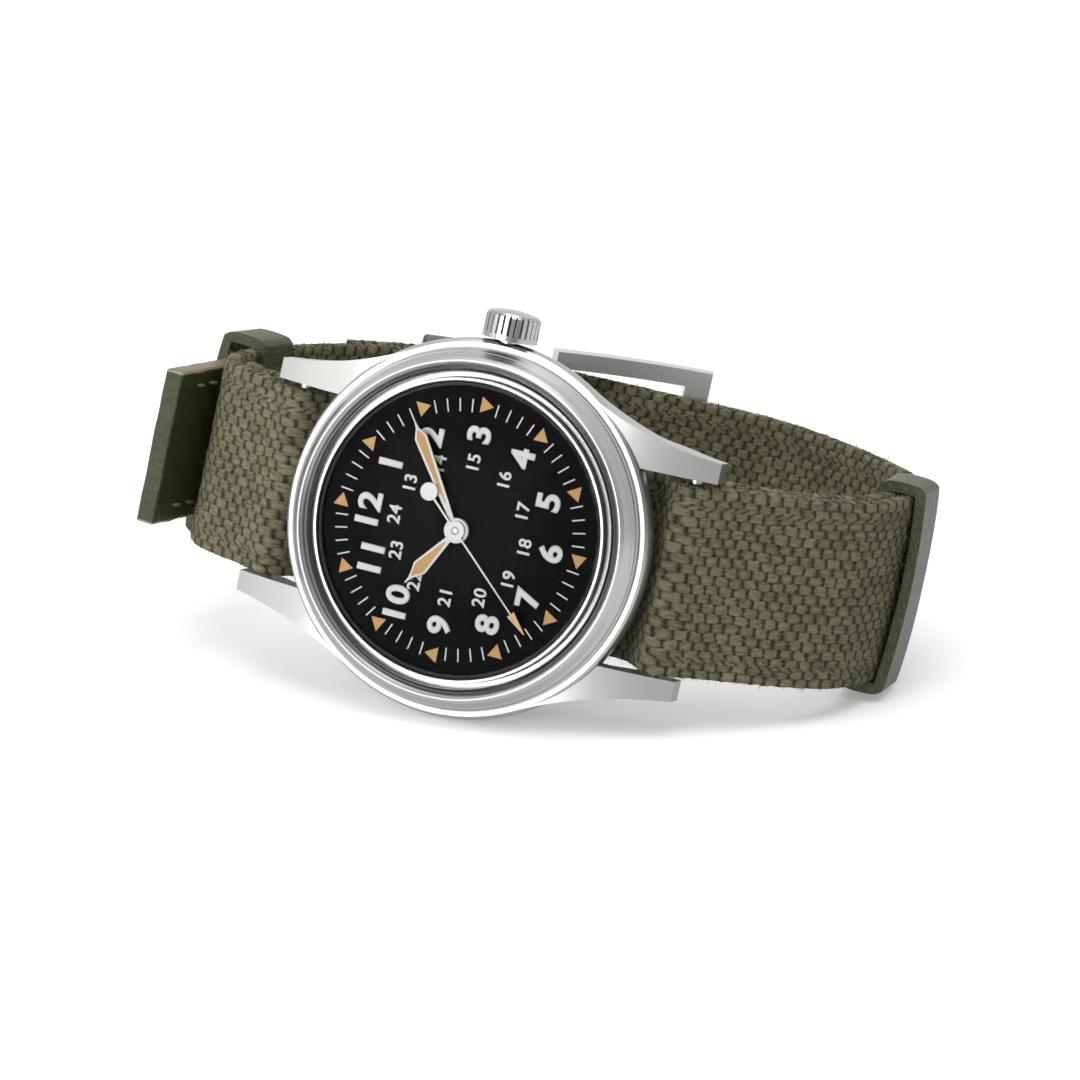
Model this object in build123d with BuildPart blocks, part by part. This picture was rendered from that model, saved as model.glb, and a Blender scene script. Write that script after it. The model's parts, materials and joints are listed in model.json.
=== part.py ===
from build123d import *
import math
import os

# A manually wound field watch, buckled, lying on its 9 o'clock flank. Millimetres.
# It is drawn on the bench, dial up: +X to 3 o'clock, +Y to 12 o'clock, z = 0 at the
# dial's printed face. The last section tips the whole watch over to lie as it rests.

pieces_dir = "parts"
os.makedirs(pieces_dir, exist_ok=True)

# Driving sizes: case
case_d = 38.0
lug_out = 4.5
lug_gap = 20.0
lug_thick = 2.05
rim_z = -1.6
floor_z = -5.1
back_z = -6.5
crown_d = 5.6
crown_h = 3.0
crown_z = -3.0
crown_pull = 0.9
bar_r = 0.75
bar_z = -6.3
bar_inset = 2.5

# Driving sizes: strap
strap_play = 0.5
canvas_t = 1.4
leather_w = 16.0
leather_t = 2.0
keeper_w = 5.0
keeper_t = 1.1
loop_reach = 19.0
loop_depth = 45.0
pitch = 6.8
hole_pitch = 6.5
buckle_rail = 1.8
buckle_l = 14.4
buckle_t = 1.8

# Clearances
fit = 0.02
run_gap = 0.05
soft_gap = 0.3
seam_gap = 0.1
cut_extra = 1.0

case_r = case_d / 2
lug_reach = case_r + lug_out
bar_y = lug_reach - bar_inset
canvas_w = lug_gap - 2 * strap_play
pieces = []


def finish(piece, name):
    """Label a finished piece and keep it for the last section."""
    piece.part.label = name
    pieces.append(piece.part)


def ring_profile(points):
    """A closed profile of (radius, height) points on the plane through the dial's axis."""
    with BuildSketch(Plane.XZ) as profile:
        with BuildLine():
            Polyline(*points, close=True)
        make_face()
    return profile.sketch


# Case middle: four lugs cut from one plan and one side view, and the turned ring
rim_inset = 0.4
rim_r = case_r - rim_inset
shoulder_w = 2.1
neck_r = rim_r - shoulder_w
neck_top_z = -0.7
neck_wall = 1.3
holder_r = neck_r - neck_wall
thread_depth = 0.7
thread_r = holder_r + thread_depth
thread_h = 1.0
floor_inset = 0.8
floor_r = case_r - floor_inset
chamfer_h = 0.25
lug_root_angle = 62
lug_tip_top_z = -4.8
lug_tip_low_z = -7.2
heel_out = 0.4
lug_heel_y = case_r + heel_out
lug_heel_z = -7.0
toe_in = 2.2
lug_toe_y = case_r - toe_in
bar_pin_r = 0.4
bar_pin_l = 1.1
tube_r = 1.0
lug_root = (rim_r * math.sin(math.radians(lug_root_angle)),
            rim_r * math.cos(math.radians(lug_root_angle)))
lug_tip = (lug_gap / 2 + lug_thick, lug_reach)
lug_tangent = (-math.cos(math.radians(lug_root_angle)), math.sin(math.radians(lug_root_angle)))
with BuildPart() as mid_case:
    with BuildSketch(Plane.XY.offset(lug_tip_low_z - cut_extra)):
        with BuildLine():
            TangentArc(lug_root, lug_tip, tangent=lug_tangent)
            Polyline(lug_tip, (lug_gap / 2, lug_reach), (lug_gap / 2, 0), lug_root)
        make_face()
    extrude(amount=cut_extra - lug_tip_low_z)
    with BuildSketch(Plane.YZ):
        with BuildLine():
            TangentArc((lug_root[1], rim_z), (lug_reach, lug_tip_top_z), tangent=(1, 0))
            Polyline((lug_reach, lug_tip_top_z), (lug_reach, lug_tip_low_z),
                     (lug_heel_y, lug_heel_z), (lug_toe_y, floor_z), (0, floor_z),
                     (0, rim_z), (lug_root[1], rim_z))
        make_face()
    extrude(amount=case_r, both=True, mode=Mode.INTERSECT)
    mirror(about=Plane.XZ)
    mirror(about=Plane.YZ)
    with BuildSketch(Plane.XZ):
        with BuildLine():
            Polyline((rim_r + chamfer_h, rim_z - chamfer_h), (rim_r, rim_z), (neck_r, rim_z),
                     (neck_r, neck_top_z), (holder_r, neck_top_z), (holder_r, floor_z),
                     (floor_r, floor_z))
            ThreePointArc((floor_r, floor_z), (case_r, (floor_z + rim_z) / 2),
                          (rim_r + chamfer_h, rim_z - chamfer_h))
        make_face()
    revolve(axis=Axis.Z)
    with BuildSketch(Plane.XY.offset(neck_top_z + cut_extra)):
        Circle(holder_r)
    extrude(amount=lug_tip_low_z - neck_top_z - cut_extra - cut_extra, mode=Mode.SUBTRACT)
    with BuildSketch(Plane.XY.offset(floor_z)):
        Circle(thread_r)
    extrude(amount=thread_h, mode=Mode.SUBTRACT)
    with BuildSketch(Plane.YZ.offset(-lug_gap / 2 - bar_pin_l - fit)):
        with Locations((bar_y, bar_z), (-bar_y, bar_z)):
            Circle(bar_pin_r + fit)
    extrude(amount=lug_gap + 2 * (bar_pin_l + fit), mode=Mode.SUBTRACT)
    with BuildSketch(Plane.YZ):
        with Locations((0, crown_z)):
            Circle(tube_r + fit)
    extrude(amount=case_r + cut_extra, mode=Mode.SUBTRACT)
finish(mid_case, "mid_case")

# Bezel: pressed over the neck; its bore holds the crystal
bezel_inset = 0.7
bezel_r = rim_r - bezel_inset
bezel_lip = 0.2
bezel_lip_h = 0.4
bezel_foot_z = -0.8
crest_z = 0.75
crest_out = 0.35
crest_r = neck_r + crest_out
crest_w = 0.1
seat_depth = 0.75
bezel_bore = holder_r + seat_depth
bezel_mouth_z = 0.25
seat_z = -0.35
seat_t = 0.3
with BuildPart() as bezel:
    add(ring_profile([
        (neck_r + fit, rim_z + fit), (bezel_r + bezel_lip, rim_z + fit),
        (bezel_r + bezel_lip, rim_z + bezel_lip_h), (bezel_r, rim_z + bezel_lip_h),
        (bezel_r, bezel_foot_z), (crest_r, crest_z), (crest_r - crest_w, crest_z),
        (bezel_bore, bezel_mouth_z), (bezel_bore, seat_z), (holder_r, seat_z),
        (holder_r, seat_z - seat_t), (neck_r + fit, seat_z - seat_t)]))
    revolve(axis=Axis.Z)
finish(bezel, "bezel")

# Crystal: a domed glass with an upright rim, inside a thin sealing ring
gasket_t = 0.18
rim_wall = 0.6
crystal_edge_z = 0.85
crystal_bevel = 0.3
dome_z = 3.15
inner_dome_z = 2.42
inner_edge_z = 1.0
flange_top_z = 0.72
dial_gap = 0.3
dial_r = holder_r - dial_gap
dial_cover = 0.6
opening_r = dial_r - dial_cover
crystal_r = bezel_bore - gasket_t - 2 * fit
with BuildPart() as crystal:
    with BuildSketch(Plane.XZ):
        with BuildLine():
            rim_inner = crystal_r - rim_wall
            inner_r = opening_r + crystal_bevel
            bevel = (crystal_r - crystal_bevel, crystal_edge_z + crystal_bevel)
            Polyline((rim_inner, seat_z), (crystal_r, seat_z), (crystal_r, crystal_edge_z), bevel)
            TangentArc((0, dome_z), bevel, tangent=(1, 0))
            Line((0, dome_z), (0, inner_dome_z))
            TangentArc((0, inner_dome_z), (inner_r, inner_edge_z), tangent=(1, 0))
            Polyline((inner_r, inner_edge_z), (inner_r, flange_top_z + run_gap),
                     (rim_inner, flange_top_z + run_gap), (rim_inner, seat_z))
        make_face()
    revolve(axis=Axis.Z)
finish(crystal, "crystal")

with BuildPart() as crystal_gasket:
    with BuildSketch(Plane.XY.offset(seat_z)):
        Circle(crystal_r + fit + gasket_t)
        Circle(crystal_r + fit, mode=Mode.SUBTRACT)
    extrude(amount=bezel_mouth_z - seat_z)
finish(crystal_gasket, "crystal_gasket")

# Flange ring: the black sloping ring between the dial and the crystal
flange_wall = 0.25
with BuildPart() as flange_ring:
    add(ring_profile([
        (opening_r, 0), (rim_inner - run_gap, 0), (rim_inner - run_gap, flange_top_z),
        (inner_r + flange_wall, flange_top_z), (opening_r, flange_wall)]))
    revolve(axis=Axis.Z)
finish(flange_ring, "flange_ring")

# Dial, on two feet that go into the main plate
dial_t = 0.4
hour_pipe_r = 1.0
foot_r = 0.35
foot_l = 0.9
foot_at = 10.6
foot_angle = 75
with BuildPart() as dial:
    with BuildSketch(Plane.XY.offset(-dial_t)):
        Circle(dial_r)
        Circle(hour_pipe_r + run_gap, mode=Mode.SUBTRACT)
    extrude(amount=dial_t)
    with BuildSketch(Plane.XY.offset(-dial_t)):
        with PolarLocations(foot_at, 2, start_angle=foot_angle):
            Circle(foot_r)
    extrude(amount=-foot_l)
finish(dial, "dial")

# Movement: levels of the plates and wheels, and where the arbors stand
plate_r = 12.8
plate_z = -0.45
plate_t = 1.45
bridge_z = -4.15
bridge_t = 0.8
motion_r = 5.2
motion_h = 0.95
pivot_r = 0.12
post_r = 0.9
post_at = 11.6
screw_r = 0.45
screw_head_r = 0.75
screw_head_h = 0.3
train_z = plate_z - plate_t
bridge_low_z = bridge_z - bridge_t
wheel_sink = 0.35
ratchet_z = bridge_z - wheel_sink


def polar(radius, degrees):
    """A point at a distance and bearing from the dial's centre."""
    return (radius * math.cos(math.radians(degrees)), radius * math.sin(math.radians(degrees)))


def teeth(count, pitch_radius, low_z, thick, centre, bearing, base=Plane.XY):
    """A toothed rim at a centre; one tooth stands at the bearing, in degrees."""
    module = 2 * pitch_radius / count
    tip_share, root_share = 0.8, 1.15
    base_share, crown_share = 0.85, 0.4
    root = pitch_radius - root_share * module
    tip = pitch_radius + tip_share * module
    with BuildSketch(base.offset(low_z)) as rim:
        with Locations(centre):
            Circle(root)
            with PolarLocations(0, count, start_angle=bearing):
                Polygon((root - module / 4, -base_share * module), (tip, -crown_share * module),
                        (tip, crown_share * module), (root - module / 4, base_share * module),
                        align=None)
    extrude(rim.sketch, amount=thick)


def arbor(radius, low_z, high_z, centre):
    """A round shaft standing between two heights."""
    with BuildSketch(Plane.XY.offset(low_z)) as section:
        with Locations(centre):
            Circle(radius)
    extrude(section.sketch, amount=high_z - low_z)


# Tooth counts of the train and the motion works
centre_teeth, third_leaves = 64, 8
third_teeth, fourth_leaves = 60, 8
fourth_teeth, escape_leaves = 70, 7
barrel_teeth, centre_leaves = 72, 9
cannon_teeth, minute_teeth = 12, 36
minute_leaves, hour_teeth = 10, 40
winding_teeth, crown_wheel_teeth, ratchet_teeth = 12, 24, 44

# Pitch radii follow from the distances between arbors
third_distance = 4.1
fourth_distance = third_distance
escape_distance = 3.5
barrel_distance = 5.9
minute_distance = 2.6
third_bearing = 200
escape_bearing = 290
barrel_bearing = 60
minute_bearing = 250
centre_wheel_r = third_distance * centre_teeth / (centre_teeth + third_leaves)
third_pinion_r = third_distance - centre_wheel_r
third_wheel_r = fourth_distance * third_teeth / (third_teeth + fourth_leaves)
fourth_pinion_r = fourth_distance - third_wheel_r
fourth_wheel_r = escape_distance * fourth_teeth / (fourth_teeth + escape_leaves)
escape_pinion_r = escape_distance - fourth_wheel_r
barrel_r = barrel_distance * barrel_teeth / (barrel_teeth + centre_leaves)
centre_pinion_r = barrel_distance - barrel_r
cannon_r = minute_distance * cannon_teeth / (cannon_teeth + minute_teeth)
minute_wheel_r = minute_distance - cannon_r
hour_wheel_r = minute_distance * hour_teeth / (hour_teeth + minute_leaves)
minute_pinion_r = minute_distance - hour_wheel_r
third_at = polar(third_distance, third_bearing)
escape_at = polar(escape_distance, escape_bearing)
barrel_at = polar(barrel_distance, barrel_bearing)
minute_at = polar(minute_distance, minute_bearing)
pallet_distance = 5.694
pallet_bearing = 300.62
balance_distance = 8.472
balance_bearing = 300.5
pallet_at = polar(pallet_distance, pallet_bearing)
balance_at = polar(balance_distance, balance_bearing)

# Heights of the wheels, from the dial down
wheel_t = 0.15
cannon_z = -1.3
hour_wheel_z = -0.85
centre_wheel_z = -2.2
centre_pinion_z = -2.75
barrel_low_z = -3.5
barrel_rim_t = 0.3
barrel_top_z = -2.4
third_wheel_z = -3.15
fourth_pinion_z = -3.3
fourth_wheel_z = -3.8
escape_wheel_z = -2.9
escape_pinion_z = -3.85
pallet_z = -2.95
balance_z = -3.85
spring_z = -4.05
pinion_t = 0.4

# Main plate, with the recess for the motion works, the stem's slot and the posts
stem_r = 0.55
clutch_r = 0.9
clutch_x = 6.4
clutch_l = 1.6
winding_l = 1.6
post_bearings = (30, 100, 150, 215, 255, 335)
with BuildPart() as main_plate:
    with BuildSketch(Plane.XY.offset(train_z)):
        Circle(plate_r)
    extrude(amount=plate_t)
    with BuildSketch(Plane.XY.offset(plate_z)):
        Circle(motion_r)
        with PolarLocations(foot_at, 2, start_angle=foot_angle):
            Circle(foot_r + fit)
    extrude(amount=-motion_h, mode=Mode.SUBTRACT)
    with BuildSketch(Plane.XY.offset(train_z)):
        for bearing in post_bearings:
            with Locations(polar(post_at, bearing)):
                Circle(post_r)
    extrude(amount=bridge_z - train_z)
    with BuildSketch(Plane.XY.offset(bridge_z - cut_extra)):
        for bearing in post_bearings:
            with Locations(polar(post_at, bearing)):
                Circle(screw_r + fit)
    extrude(amount=cut_extra + cut_extra, mode=Mode.SUBTRACT)
    with BuildSketch(Plane.XY.offset(train_z - cut_extra)):
        Circle(hour_pipe_r)
        with Locations(third_at, escape_at, barrel_at, pallet_at, balance_at):
            Circle(pivot_r + fit)
    extrude(amount=plate_t + 2 * cut_extra, mode=Mode.SUBTRACT)
    with BuildSketch(Plane.YZ.offset(clutch_x - run_gap)):
        with Locations((0, crown_z)):
            Circle(clutch_r + clutch_r / 4)
    extrude(amount=plate_r, mode=Mode.SUBTRACT)
finish(main_plate, "main_plate")

# Motion works: cannon pinion, minute wheel and hour wheel, between dial and plate
cannon_pipe_r = 0.6
cannon_bore = 0.32
hour_hand_z = 0.5
minute_hand_z = 0.85
seconds_hand_z = 1.2
hand_t = 0.15
hour_wheel_top_z = hour_wheel_z + wheel_t
cannon_phase = minute_bearing
with BuildPart() as cannon_pinion:
    teeth(cannon_teeth, cannon_r, cannon_z, pinion_t, (0, 0), cannon_phase)
    arbor(cannon_pipe_r, cannon_z, minute_hand_z + hand_t, (0, 0))
    arbor(cannon_pipe_r, centre_wheel_z + wheel_t + run_gap, cannon_z, (0, 0))
    with BuildSketch(Plane.XY.offset(centre_wheel_z)):
        Circle(cannon_bore + fit)
    extrude(amount=minute_hand_z + hand_t + cut_extra - centre_wheel_z, mode=Mode.SUBTRACT)
finish(cannon_pinion, "cannon_pinion")

with BuildPart() as minute_wheel:
    half_tooth = 180 / minute_teeth
    teeth(minute_teeth, minute_wheel_r, cannon_z + run_gap, wheel_t, minute_at,
          minute_bearing + 180 + half_tooth)
    teeth(minute_leaves, minute_pinion_r, cannon_z + run_gap + wheel_t, pinion_t, minute_at,
          minute_bearing + 180)
    with BuildSketch(Plane.XY.offset(cannon_z)):
        with Locations(minute_at):
            Circle(pivot_r + fit)
    extrude(amount=plate_t, mode=Mode.SUBTRACT)
finish(minute_wheel, "minute_wheel")

with BuildPart() as hour_wheel:
    teeth(hour_teeth, hour_wheel_r, hour_wheel_z, wheel_t, (0, 0),
          minute_bearing + 180 / hour_teeth)
    arbor(hour_pipe_r, hour_wheel_z, hour_hand_z + hand_t, (0, 0))
    with BuildSketch(Plane.XY.offset(hour_wheel_z)):
        Circle(cannon_pipe_r + run_gap)
    extrude(amount=hour_hand_z + hand_t + cut_extra - hour_wheel_z, mode=Mode.SUBTRACT)
finish(hour_wheel, "hour_wheel")

# Hands: a needle, a body that widens to the shoulders and the luminous filling inside it
twelve_bearing = 90
minute_angle = twelve_bearing - 55.6
hour_angle = twelve_bearing - 303.8
seconds_angle = twelve_bearing - 222.2
lume_margin = 0.2
needle_w = 0.3
hub_r = 1.25
hour_tip_gap = 6.7
hour_w = 1.62
hour_back_l = 2.15
minute_tip_gap = 2.65
minute_w = 1.33
minute_back_l = 1.8
needle_l = 0.8


def hand_shape(tip_r, back_l, width):
    """Half the outline of a hand that points along +X, as (distance, half width)."""
    body_share = 0.3
    shoulder_r = tip_r - back_l
    return [(0, needle_w / 2), (body_share * shoulder_r, needle_w / 2 + lume_margin),
            (shoulder_r, width / 2), (tip_r - needle_l, needle_w / 2), (tip_r, needle_w / 6)]


def hand_outline(half):
    """Close half an outline over its mirror image."""
    return half + [(x, -y) for x, y in reversed(half)]


def window_outline(half):
    """The filling's window: the wide part of a hand, a margin inside its edges."""
    start, shoulder, tail = half[1], half[2], half[3]
    points = [(start[0], needle_w / 4), (shoulder[0], shoulder[1] - lume_margin),
              (tail[0] - lume_margin, needle_w / 4)]
    return points + [(x, -y) for x, y in reversed(points)]


def hand_blank(half, angle, low_z, bore, windowed):
    """A flat hand on its hub, in the part being built."""
    with BuildSketch(Plane.XY.offset(low_z).rotated((0, 0, angle))) as blank:
        Circle(hub_r)
        Polygon(*hand_outline(half), align=None)
        if windowed:
            Polygon(*window_outline(half), align=None, mode=Mode.SUBTRACT)
        Circle(bore, mode=Mode.SUBTRACT)
    extrude(blank.sketch, amount=hand_t)


hour_shape = hand_shape(opening_r - hour_tip_gap, hour_back_l, hour_w)
minute_shape = hand_shape(opening_r - minute_tip_gap, minute_back_l, minute_w)
with BuildPart() as hour_hand:
    hand_blank(hour_shape, hour_angle, hour_hand_z, hour_pipe_r + fit, True)
finish(hour_hand, "hour_hand")

with BuildPart() as minute_hand:
    hand_blank(minute_shape, minute_angle, minute_hand_z, cannon_pipe_r + fit, True)
finish(minute_hand, "minute_hand")

for shape, angle, low_z, name in ((hour_shape, hour_angle, hour_hand_z, "hour_hand_lume"),
                                  (minute_shape, minute_angle, minute_hand_z, "minute_hand_lume")):
    with BuildPart() as lume:
        with BuildSketch(Plane.XY.offset(low_z).rotated((0, 0, angle))):
            Polygon(*window_outline(shape), align=None)
        extrude(amount=hand_t)
    finish(lume, name)

seconds_tip_gap = 1.95
seconds_tip_r = opening_r - seconds_tip_gap
arrow_l = 2.4
arrow_r = seconds_tip_r - arrow_l
arrow_w = 0.85
needle_thin = 0.2
counter_at = 4.7
counter_r = 0.9
seconds_hub_r = 0.95
arbor_r = 0.16
with BuildPart() as seconds_hand:
    with BuildSketch(Plane.XY.offset(seconds_hand_z).rotated((0, 0, seconds_angle))):
        Circle(seconds_hub_r)
        with Locations((-counter_at, 0)):
            Circle(counter_r)
        Polygon((-counter_at, needle_thin / 2), (seconds_tip_r, needle_thin / 4),
                (seconds_tip_r, -needle_thin / 4), (-counter_at, -needle_thin / 2), align=None)
        Polygon((arrow_r, arrow_w / 2), (seconds_tip_r, needle_thin / 4),
                (seconds_tip_r, -needle_thin / 4), (arrow_r, -arrow_w / 2), align=None)
        Circle(arbor_r + fit, mode=Mode.SUBTRACT)
    extrude(amount=needle_thin / 2)
finish(seconds_hand, "seconds_hand")

# Going train: every arbor turns between the main plate and a bridge
fourth_arbor_top = seconds_hand_z + needle_thin / 2
pivot_top_z = train_z + pivot_r
pivot_low_z = bridge_z - pivot_r
with BuildPart() as fourth_wheel:
    half_leaf = 180 / fourth_leaves
    teeth(fourth_teeth, fourth_wheel_r, fourth_wheel_z, wheel_t, (0, 0), escape_bearing)
    teeth(fourth_leaves, fourth_pinion_r, fourth_pinion_z, pinion_t, (0, 0),
          third_bearing + half_leaf)
    arbor(arbor_r, pivot_low_z, fourth_arbor_top, (0, 0))
    arbor(fourth_pinion_r / 2, fourth_wheel_z, fourth_pinion_z, (0, 0))
finish(fourth_wheel, "fourth_wheel")

with BuildPart() as centre_wheel:
    half_leaf = 180 / centre_leaves
    teeth(centre_teeth, centre_wheel_r, centre_wheel_z, wheel_t, (0, 0), third_bearing)
    teeth(centre_leaves, centre_pinion_r, centre_pinion_z, centre_wheel_z - centre_pinion_z,
          (0, 0), barrel_bearing + half_leaf)
    arbor(cannon_bore, centre_wheel_z, cannon_z + pinion_t, (0, 0))
    with BuildSketch(Plane.XY.offset(centre_pinion_z - cut_extra)):
        Circle(arbor_r + run_gap)
    extrude(amount=2 * cut_extra + cannon_z + pinion_t - centre_pinion_z, mode=Mode.SUBTRACT)
finish(centre_wheel, "centre_wheel")

with BuildPart() as third_wheel:
    half_leaf = 180 / third_leaves
    teeth(third_teeth, third_wheel_r, third_wheel_z, wheel_t, third_at, third_bearing + 180)
    teeth(third_leaves, third_pinion_r, centre_wheel_z - run_gap, wheel_t + 2 * run_gap,
          third_at, third_bearing + 180 + half_leaf)
    arbor(third_pinion_r / 2, third_wheel_z, centre_wheel_z, third_at)
    arbor(pivot_r, pivot_low_z, pivot_top_z, third_at)
finish(third_wheel, "third_wheel")

escape_teeth = 15
escape_r = 1.55
with BuildPart() as escape_wheel:
    half_leaf = 180 / escape_leaves
    with BuildSketch(Plane.XY.offset(escape_wheel_z)):
        with Locations(escape_at):
            Circle(escape_r - escape_r / 4)
            with PolarLocations(0, escape_teeth):
                Polygon((escape_r / 2, -escape_r / 12), (escape_r, escape_r / 12),
                        (escape_r / 2, escape_r / 9), align=None)
    extrude(amount=wheel_t)
    teeth(escape_leaves, escape_pinion_r, escape_pinion_z, pinion_t / 2 + wheel_t, escape_at,
          escape_bearing + 180 + half_leaf)
    arbor(escape_pinion_r / 2, escape_pinion_z, escape_wheel_z, escape_at)
    arbor(pivot_r, pivot_low_z, pivot_top_z, escape_at)
finish(escape_wheel, "escape_wheel")

# Barrel: a toothed drum, the coiled mainspring inside and the arbor with the ratchet wheel
barrel_wall = 0.35
barrel_arbor_r = 0.8
arbor_neck_r = 0.5
spring_t = 0.12
spring_turns = 5
drum_r = barrel_r - barrel_wall
with BuildPart() as barrel:
    teeth(barrel_teeth, barrel_r, barrel_top_z - barrel_rim_t, barrel_rim_t, barrel_at,
          barrel_bearing + 180)
    with BuildSketch(Plane.XY.offset(barrel_low_z)):
        with Locations(barrel_at):
            Circle(drum_r)
    extrude(amount=barrel_top_z - barrel_low_z)
    with BuildSketch(Plane.XY.offset(barrel_low_z + wheel_t)):
        with Locations(barrel_at):
            Circle(drum_r - barrel_wall)
    extrude(amount=barrel_top_z - barrel_low_z - 2 * wheel_t, mode=Mode.SUBTRACT)
    with BuildSketch(Plane.XY.offset(barrel_low_z - cut_extra)):
        with Locations(barrel_at):
            Circle(arbor_neck_r + run_gap)
    extrude(amount=barrel_top_z - barrel_low_z + 2 * cut_extra, mode=Mode.SUBTRACT)
finish(barrel, "barrel")

with BuildPart() as barrel_arbor:
    arbor(barrel_arbor_r, barrel_low_z + wheel_t + run_gap, barrel_top_z - wheel_t - run_gap,
          barrel_at)
    arbor(arbor_neck_r, ratchet_z - wheel_t, barrel_top_z + run_gap, barrel_at)
    arbor(pivot_r, barrel_top_z, train_z + plate_t / 2, barrel_at)
finish(barrel_arbor, "barrel_arbor")


def spiral(inner, step, turns):
    """A flat spiral in half turns, about two centres half a step apart in turn."""
    for half_turn in range(2 * turns):
        side = 1 if half_turn % 2 == 0 else -1
        radius = inner + step * half_turn / 2
        CenterArc((-side * step / 4, 0), radius, 0 if side > 0 else 180, 180)


spring_inner = barrel_arbor_r + run_gap + spring_t
spring_step = (drum_r - barrel_wall - run_gap - spring_t - spring_inner) / spring_turns
with BuildPart() as mainspring:
    with BuildSketch(Plane((*barrel_at, barrel_low_z + wheel_t + run_gap))):
        with BuildLine():
            spiral(spring_inner + spring_step / 4, spring_step, spring_turns)
        trace(line_width=spring_t)
    extrude(amount=barrel_top_z - barrel_low_z - 2 * (wheel_t + run_gap))
finish(mainspring, "mainspring")

# Escapement: pallet fork with its two stones, balance with staff and hairspring
fork_arm = 1.35
fork_w = 0.35
fork_turn = 40
with BuildPart() as pallet_fork:
    with BuildSketch(Plane.XY.offset(pallet_z)):
        with Locations(Location((*pallet_at, 0), (0, 0, fork_turn))):
            Rectangle(2 * fork_w, 2 * fork_w)
            Rectangle(fork_arm / 2, fork_w / 2)
            with Locations((0, -fork_arm / 2)):
                Rectangle(fork_w, fork_arm)
    extrude(amount=wheel_t)
    arbor(pivot_r, balance_z + pinion_t, pivot_top_z, pallet_at)
finish(pallet_fork, "pallet_fork")

balance_r = 3.6
balance_rim = 0.35
balance_rim_h = 0.3
spoke_w = 0.4
hair_turns = 4
hair_t = 0.06
with BuildPart() as balance:
    with BuildSketch(Plane.XY.offset(balance_z)):
        with Locations(balance_at):
            Circle(balance_r)
            Circle(balance_r - balance_rim, mode=Mode.SUBTRACT)
            Circle(spoke_w)
            with PolarLocations(0, 2):
                Rectangle(2 * balance_r - balance_rim, spoke_w)
    extrude(amount=balance_rim_h)
    arbor(pivot_r, pivot_low_z, pivot_top_z, balance_at)
    arbor(spoke_w / 2, spring_z - run_gap, pallet_z + wheel_t / 2, balance_at)
finish(balance, "balance")

hair_inner = spoke_w / 2 + run_gap + hair_t
hair_step = 3 * hair_t
with BuildPart() as hairspring:
    with BuildSketch(Plane((*balance_at, spring_z))):
        with BuildLine():
            spiral(hair_inner, hair_step, hair_turns)
        trace(line_width=hair_t)
    extrude(amount=hair_t * 2)
finish(hairspring, "hairspring")

# Bridges, laid on the posts, with their screws
bridge_edge = 0.3
bridge_r = plate_r - bridge_edge
divide = 0.15
crown_wheel_distance = 8.698
crown_wheel_bearing = 17.39
crown_wheel_at = polar(crown_wheel_distance, crown_wheel_bearing)
ratchet_gap = math.dist(crown_wheel_at, barrel_at)
ratchet_r = ratchet_gap * ratchet_teeth / (ratchet_teeth + crown_wheel_teeth)
crown_wheel_pitch_r = ratchet_gap - ratchet_r


def bridge_blank(low_bearing, high_bearing):
    """A bridge in plan: a sector of the plate between two bearings, less the division."""
    with BuildSketch(Plane.XY.offset(bridge_low_z)) as plan:
        with BuildLine():
            start, end = polar(bridge_r, low_bearing), polar(bridge_r, high_bearing)
            Line((0, 0), start)
            ThreePointArc(start, polar(bridge_r, (low_bearing + high_bearing) / 2), end)
            Line(end, (0, 0))
        make_face()
        offset(amount=-divide)
    extrude(plan.sketch, amount=bridge_t)


def bridge_holes(bearings, pivots):
    """Screw holes over the posts and pivot holes over the arbors."""
    with BuildSketch(Plane.XY.offset(bridge_low_z - cut_extra)) as holes:
        for bearing in bearings:
            with Locations(polar(post_at, bearing)):
                Circle(screw_r + fit)
        with Locations(*pivots):
            Circle(pivot_r + fit)
    extrude(holes.sketch, amount=bridge_t + 2 * cut_extra, mode=Mode.SUBTRACT)


wheel_low_z = ratchet_z - run_gap
mesh_bearing = math.degrees(math.atan2(crown_wheel_at[1] - barrel_at[1],
                                       crown_wheel_at[0] - barrel_at[0]))
click_r = 0.6
click_bearing = 130
click_reach = 1.3
click_offset = polar(ratchet_r + click_reach, click_bearing)
click_at = (barrel_at[0] + click_offset[0], barrel_at[1] + click_offset[1])
recess_gap = 0.3
wheel_boss_r = 0.6
window_r = 1.3
barrel_bridge_bearings = (8, 128)
train_bridge_bearings = (132, 268)
balance_cock_bearings = (272, 332)
with BuildPart() as barrel_bridge:
    bridge_blank(*barrel_bridge_bearings)
    bridge_holes(post_bearings[0:2], [])
    with BuildSketch(Plane.XY.offset(bridge_low_z)):
        with Locations(barrel_at):
            Circle(ratchet_r + recess_gap)
        with Locations(crown_wheel_at):
            Circle(crown_wheel_pitch_r + recess_gap)
        with Locations(click_at):
            Circle(click_r + recess_gap)
    extrude(amount=bridge_t - wheel_sink + wheel_t, mode=Mode.SUBTRACT)
    with BuildSketch(Plane.XY.offset(bridge_low_z)):
        with Locations(barrel_at):
            Circle(arbor_neck_r + run_gap)
        with Locations((crown_wheel_at[0], 0)):
            Circle(window_r)
    extrude(amount=bridge_t, mode=Mode.SUBTRACT)
    arbor(wheel_boss_r, wheel_low_z, bridge_z, crown_wheel_at)
    arbor(wheel_boss_r / 2, wheel_low_z, bridge_z, click_at)
finish(barrel_bridge, "barrel_bridge")

with BuildPart() as train_bridge:
    bridge_blank(*train_bridge_bearings)
    bridge_holes(post_bearings[2:5], [third_at])
finish(train_bridge, "train_bridge")

with BuildPart() as balance_cock:
    bridge_blank(*balance_cock_bearings)
    bridge_holes([], [balance_at, escape_at, (0, 0)])
finish(balance_cock, "balance_cock")

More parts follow.
